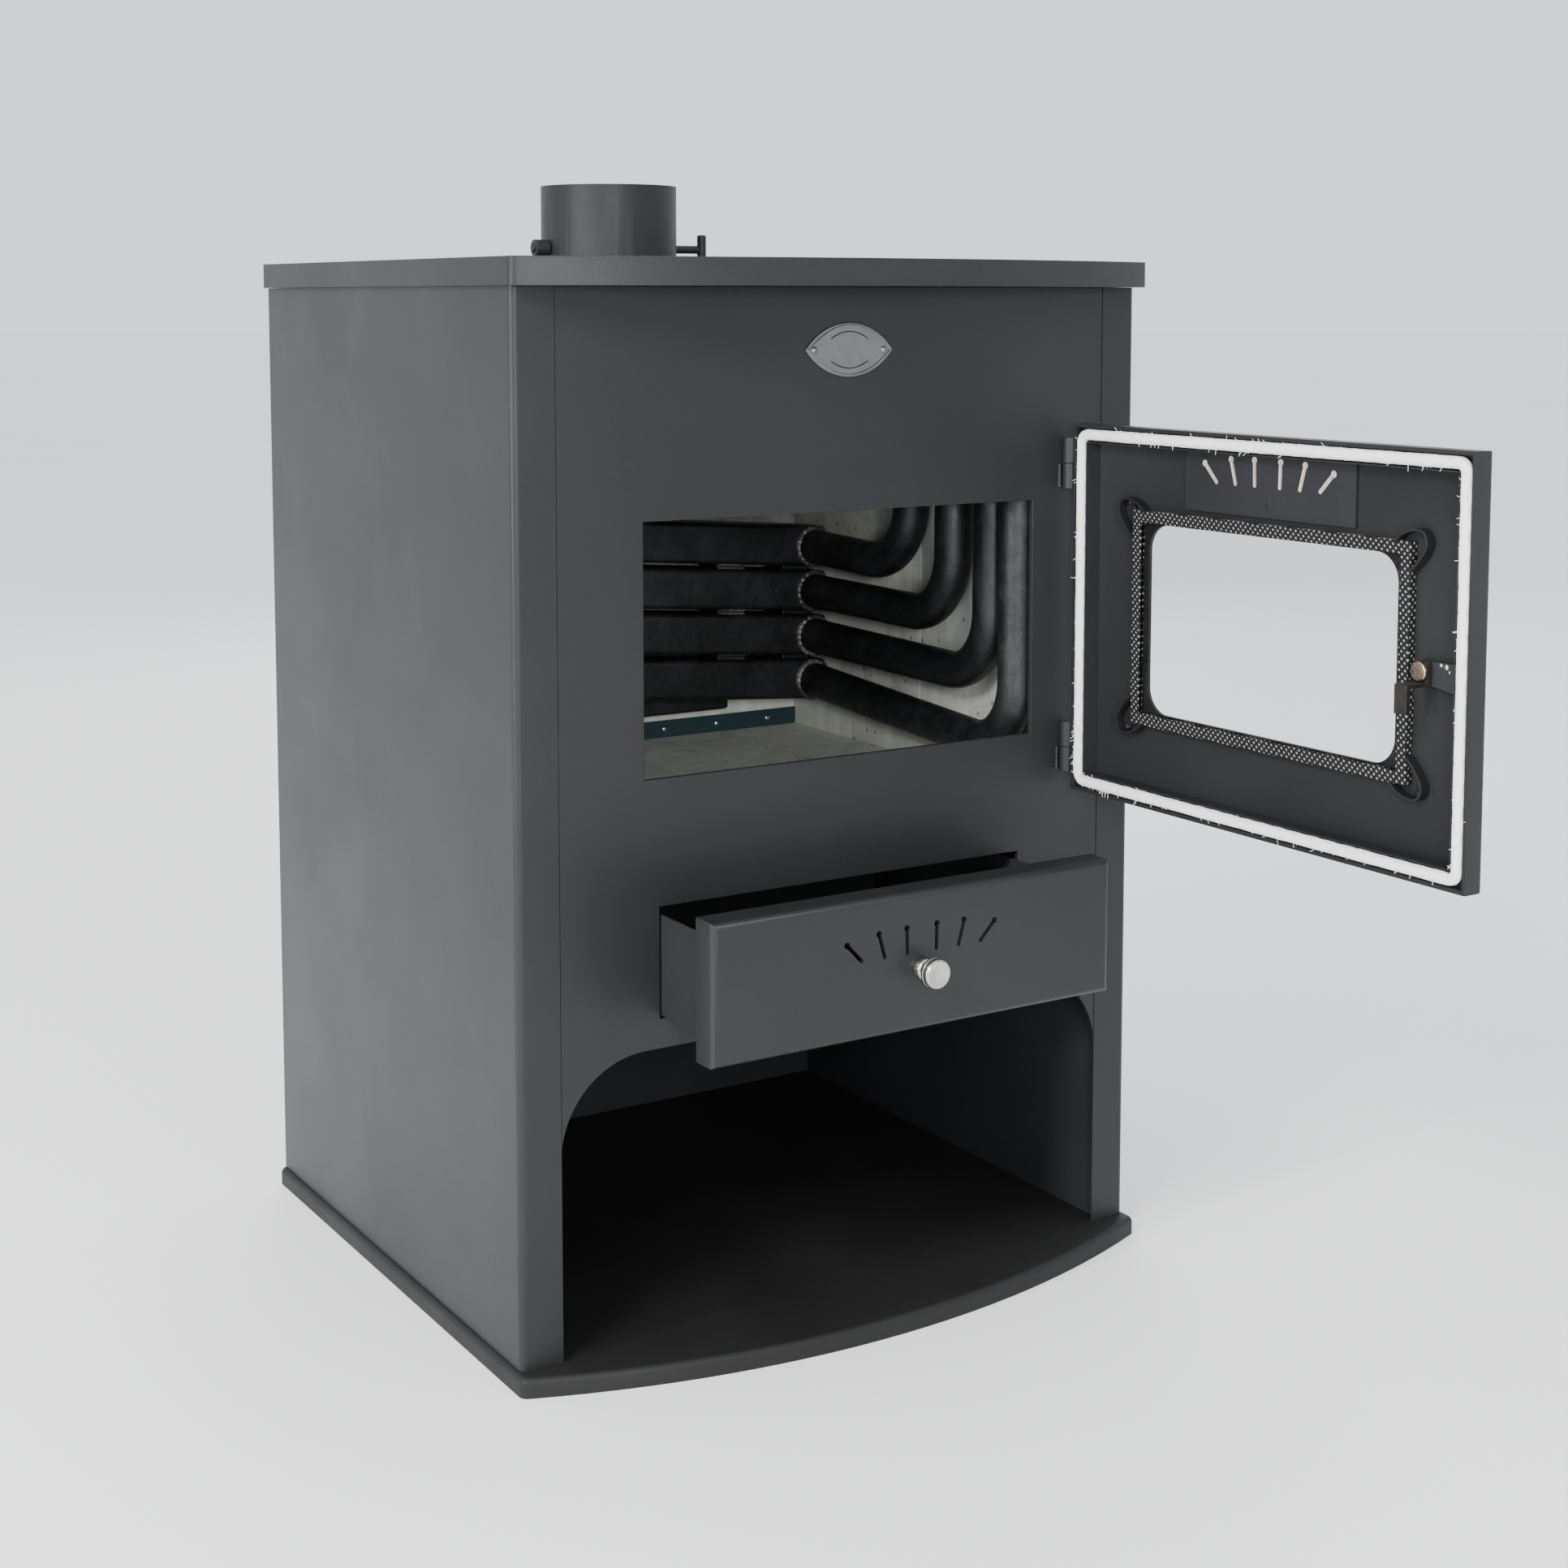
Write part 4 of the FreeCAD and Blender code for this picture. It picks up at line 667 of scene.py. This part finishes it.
def make_badge():
    """An eye-shaped plate with a raised rim and two plain curved lines."""
    soften("badge", 0.0005)
    lo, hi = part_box("badge")
    middle, half_x, half_z = (lo + hi) / 2, (hi.x - lo.x) / 2, (hi.z - lo.z) / 2

    def arc(width, start, height, sign, steps=40):
        return [Vector((middle.x + width * t, lo.y, middle.z + sign * (start + height * (1 - t * t))))
                for t in (-1 + 2 * i / steps for i in range(steps + 1))]

    def rim(work):
        for sign in (-1, 1):
            tube(work, arc(half_x * 0.94, 0, half_z * 0.92, sign), 0.0006, 6)

    def lines(work):
        for sign in (-1, 1):
            tube(work, arc(half_x * 0.42, half_z * 0.42, half_z * 0.26, sign), 0.0005, 6)

    add_piece("badge_rim", mesh_from("badge_rim", rim), "badge_metal", "stove")
    add_piece("badge_lines", mesh_from("badge_lines", lines), "badge_metal", "stove", finish="clip_steel")
    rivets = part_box("badge_rivets")
    radius = (rivets[1].z - rivets[0].z) / 2

    def heads(work):
        for x in (rivets[0].x + radius, rivets[1].x - radius):
            dome(work, (x, rivets[1].y, middle.z), -Y, radius, rivets[1].y - rivets[0].y)

    add_piece("badge_rivet_heads", mesh_from("badge_rivets", heads), "badge_metal", "stove", ["badge_rivets"])


# ---------------------------------------------------------------- door
def in_air_slots(plate, knob):
    """A test for the walls of the air slots above a knob, in a plate that faces along X."""
    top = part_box(plate)[1].z - 0.0005
    middle = (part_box(knob)[0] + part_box(knob)[1]) / 2

    def test(place, normal):
        return (abs(normal.x) < 0.2 and abs(place.y - middle.y) < 0.085
                and middle.z + 0.008 < place.z < min(top, middle.z + 0.042))
    return test


def make_door():
    lo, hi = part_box("door_panel")

    def outer_edge(place):
        return place.x > hi.x - FLAT and not (lo.y + BORDER < place.y < hi.y - BORDER
                                              and lo.z + BORDER < place.z < hi.z - BORDER)

    # the air slot walls get cut steel with a painted highlight
    soften("door_panel", 0.0007, 0.005, outer_edge, highlight_cut_faces=in_air_slots("door_panel", "door_air_knob"))
    soften("door_shutter", 0.0003, highlight_cut_faces=in_air_slots("door_shutter", "door_air_knob"))
    soften("latch_hook", 0.001, segments=3, finish="burnt_steel")
    soften("door_handle", 0.0022, segments=3, finish="burnt_steel")
    for node, width in (("gasket_channel", 0.0004), ("door_glass", 0.0004), ("glass_gasket", 0.0005),
                        ("latch_plate", 0.001), ("latch_spindle", 0.0014),
                        ("hinge_frame_halves", 0.0006), ("hinge_door_halves", 0.0006),
                        ("hinge_pins", 0.0008)):
        soften(node, width, segments=3)


def make_latch_welds():
    """Bright weld spots where the latch plate meets the door."""
    lo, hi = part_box("latch_plate")

    def build(work):
        for place in ((0.62, 0.86, 0.0022), (0.5, 0.9, 0.0016), (0.7, 0.72, 0.0013)):
            centre = (lo.x, hi.y - (hi.y - lo.y) * place[0], lo.z + (hi.z - lo.z) * place[1])
            dome(work, centre, -X, place[2], 0.0011)

    add_piece("latch_weld_spots", mesh_from("latch_weld_spots", build), "latch_steel", "door",
              finish="bright_rivet")


def make_clips():
    """Bent clips that hold the glass corners: a strip arched round each corner, on a foot."""
    lo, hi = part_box("glass_clips")
    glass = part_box("glass_gasket")
    sheet = 0.002
    arch = [Vector(p) for p in ((-0.015, -0.001), (-0.008, 0.005), (0.003, 0.0088), (0.013, 0.0075),
                                (0.0165, -0.002), (0.009, -0.014), (0.0005, -0.022))]
    foot = [Vector(p) for p in ((0.0022, 0.0015), (0.006, 0.0065), (0.0125, 0.0062), (0.0148, -0.0015),
                                (0.0085, -0.0115), (0.0022, -0.017))]

    def build(work):
        for side in (0, 1):
            for end in (0, 1):
                corner = Vector((glass[side].y, glass[end].z))
                out_y, out_z = (-1, 1)[side], (-1, 1)[end]

                def place(p, x):
                    return (x, corner.x + out_y * p.x, corner.y + out_z * p.y)

                folded_sheet(work, curved(arch), sheet, place, [lo.x, hi.x - sheet / 2, hi.x])
                rings = [[work.verts.new(place(p, x)) for p in foot] for x in (hi.x - sheet, hi.x)]
                work.faces.new(rings[0])
                work.faces.new(rings[1][::-1])
                for i in range(len(foot)):
                    j = (i + 1) % len(foot)
                    work.faces.new((rings[0][i], rings[0][j], rings[1][j], rings[1][i]))

    piece = add_piece("bent_clips", mesh_from("bent_clips", build), "clip_steel", "door", ["glass_clips"])
    round_edges(piece, 0.0004)


def make_rope():
    """The door's rope seal: a braid pressed into its channel, frayed here and there."""
    lo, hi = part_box("door_gasket")
    radius = (hi.x - lo.x) / 2 - 0.0003
    middle = Vector(((lo.x + hi.x) / 2, (lo.y + hi.y) / 2, (lo.z + hi.z) / 2))
    half_y, half_z = (hi.y - lo.y) / 2 - radius, (hi.z - lo.z) / 2 - radius
    step = 0.0011
    points = rounded_rectangle(middle, half_y, half_z, 0.008, Y, Z, step)
    strands, lay = 6, 0.19
    swell = [random.uniform(0.93, 1.0) for _ in range(len(points) // 12 + 2)]

    def braid(i, angle):
        right = abs(math.cos(strands * angle / 2 + lay * i))
        left = abs(math.cos(strands * angle / 2 - lay * i))
        t = i / 12
        size = swell[int(t)] * (1 - t % 1) + swell[(int(t) + 1) % len(swell)] * (t % 1)
        return size * (0.78 + 0.22 * max(right, left))

    def build(work):
        tube(work, points, radius, 22, True, braid)

    add_piece("rope_seal", mesh_from("rope_seal", build), "rope_gasket", "door", ["door_gasket"], smooth=80)

    def frays(work):
        corner = Vector((middle.x, hi.y - 0.006, lo.z + 0.006))
        for k in range(420):
            start = points[random.randrange(len(points))]
            if k < 110:
                near = [p for p in points if (p - corner).length < 0.05]
                start = near[random.randrange(len(near))]
            out = Vector((-random.uniform(0.2, 1), random.uniform(-1, 1), random.uniform(-1, 1))).normalized()
            curl = Vector((random.uniform(-1, 1), random.uniform(-1, 1), random.uniform(-1, 1))) * 0.4
            length = random.uniform(0.002, 0.0055)
            path = [start + out * (radius * 0.8 + length * s) + curl * length * s * s
                    for s in (0, 0.33, 0.66, 1)]
            for point in path:
                point.x = max(point.x, middle.x - radius)  # the shut door presses them flat
            tube(work, path, 0.00016, 4)

    add_piece("rope_frays", mesh_from("rope_frays", frays), "rope_gasket", "door")


def make_clip_screws():
    lo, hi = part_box("clip_screws")
    radius = 0.003

    def build(work):
        for y in (lo.y + radius, hi.y - radius):
            for z in (lo.z + radius, hi.z - radius):
                dome(work, (hi.x - 0.002, y, z), -X, radius, 0.0022)

    add_piece("clip_screw_heads", mesh_from("clip_screws", build), "bright_rivet", "door", ["clip_screws"],
              finish="clip_steel")


def knob_profile(length, base, neck, head):
    """Foot, neck and head of a turned knob, with round edges and a shallow dish in its face."""
    foot, waist = length * 0.34, length * 0.53
    return [(0, base * 0.6), (0, base * 0.93), (0.0006, base), (foot - 0.0012, base), (foot, base * 0.9),
            (foot + 0.0006, neck * 1.1), (foot + 0.0016, neck), (waist, neck), (waist + 0.0012, neck * 1.15),
            (waist + 0.0016, head * 0.9), (waist + 0.0026, head), (length * 0.72, head),
            (length * 0.74, head * 0.965), (length * 0.76, head), (length - 0.0018, head),
            (length - 0.0006, head * 0.95), (length, head * 0.86), (length - 0.0004, head * 0.7),
            (length - 0.0012, head * 0.3), (length - 0.0012, 0.0003)]


def make_knobs():
    for node, axis, body in (("drawer_knob", -Y, "drawer_air"), ("door_air_knob", X, "door_air")):
        lo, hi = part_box(node)
        middle = (lo + hi) / 2
        start = Vector(middle)
        if node == "drawer_knob":
            start.y = hi.y
            length = hi.y - lo.y
        else:
            start.x = lo.x
            length = hi.x - lo.x
        rod = 0.005

        def build(work):
            lathe(work, [(0, 0.003), (rod + 0.0006, 0.003)], start, axis, 24)
            profile = knob_profile(length - rod - 0.0004, 0.009, 0.0055, 0.012)
            lathe(work, profile, start + axis * (rod + 0.0004), axis, 56)

        add_piece(node + "_turned", mesh_from(node, build), "knob_nickel", body, [node], smooth=38)


# ---------------------------------------------------------------- drawer
def make_drawer():
    lo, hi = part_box("drawer_front")

    def outer_edge(place):
        return place.y < lo.y + FLAT and not (lo.x + BORDER < place.x < hi.x - BORDER
                                              and lo.z + BORDER < place.z < hi.z - BORDER)

    soften("drawer_front", 0.0006, 0.006, outer_edge)
    soften("drawer_box", 0.0006)
    soften("drawer_shutter", 0.0004)


FINISHES = {}
add_camera()
add_studio()
FINISHES.update(make_finishes())
for node, item in frame["nodes"].items():
    item.data.materials.clear()
    item.data.materials.append(FINISHES[SLOT_OF[node]])
for make in (make_casing, make_rear_screws, make_firebox, make_strip_rivets, make_welds, make_flue,
             make_badge, make_door, make_latch_welds, make_clips, make_rope, make_clip_screws,
             make_knobs, make_drawer):
    make()
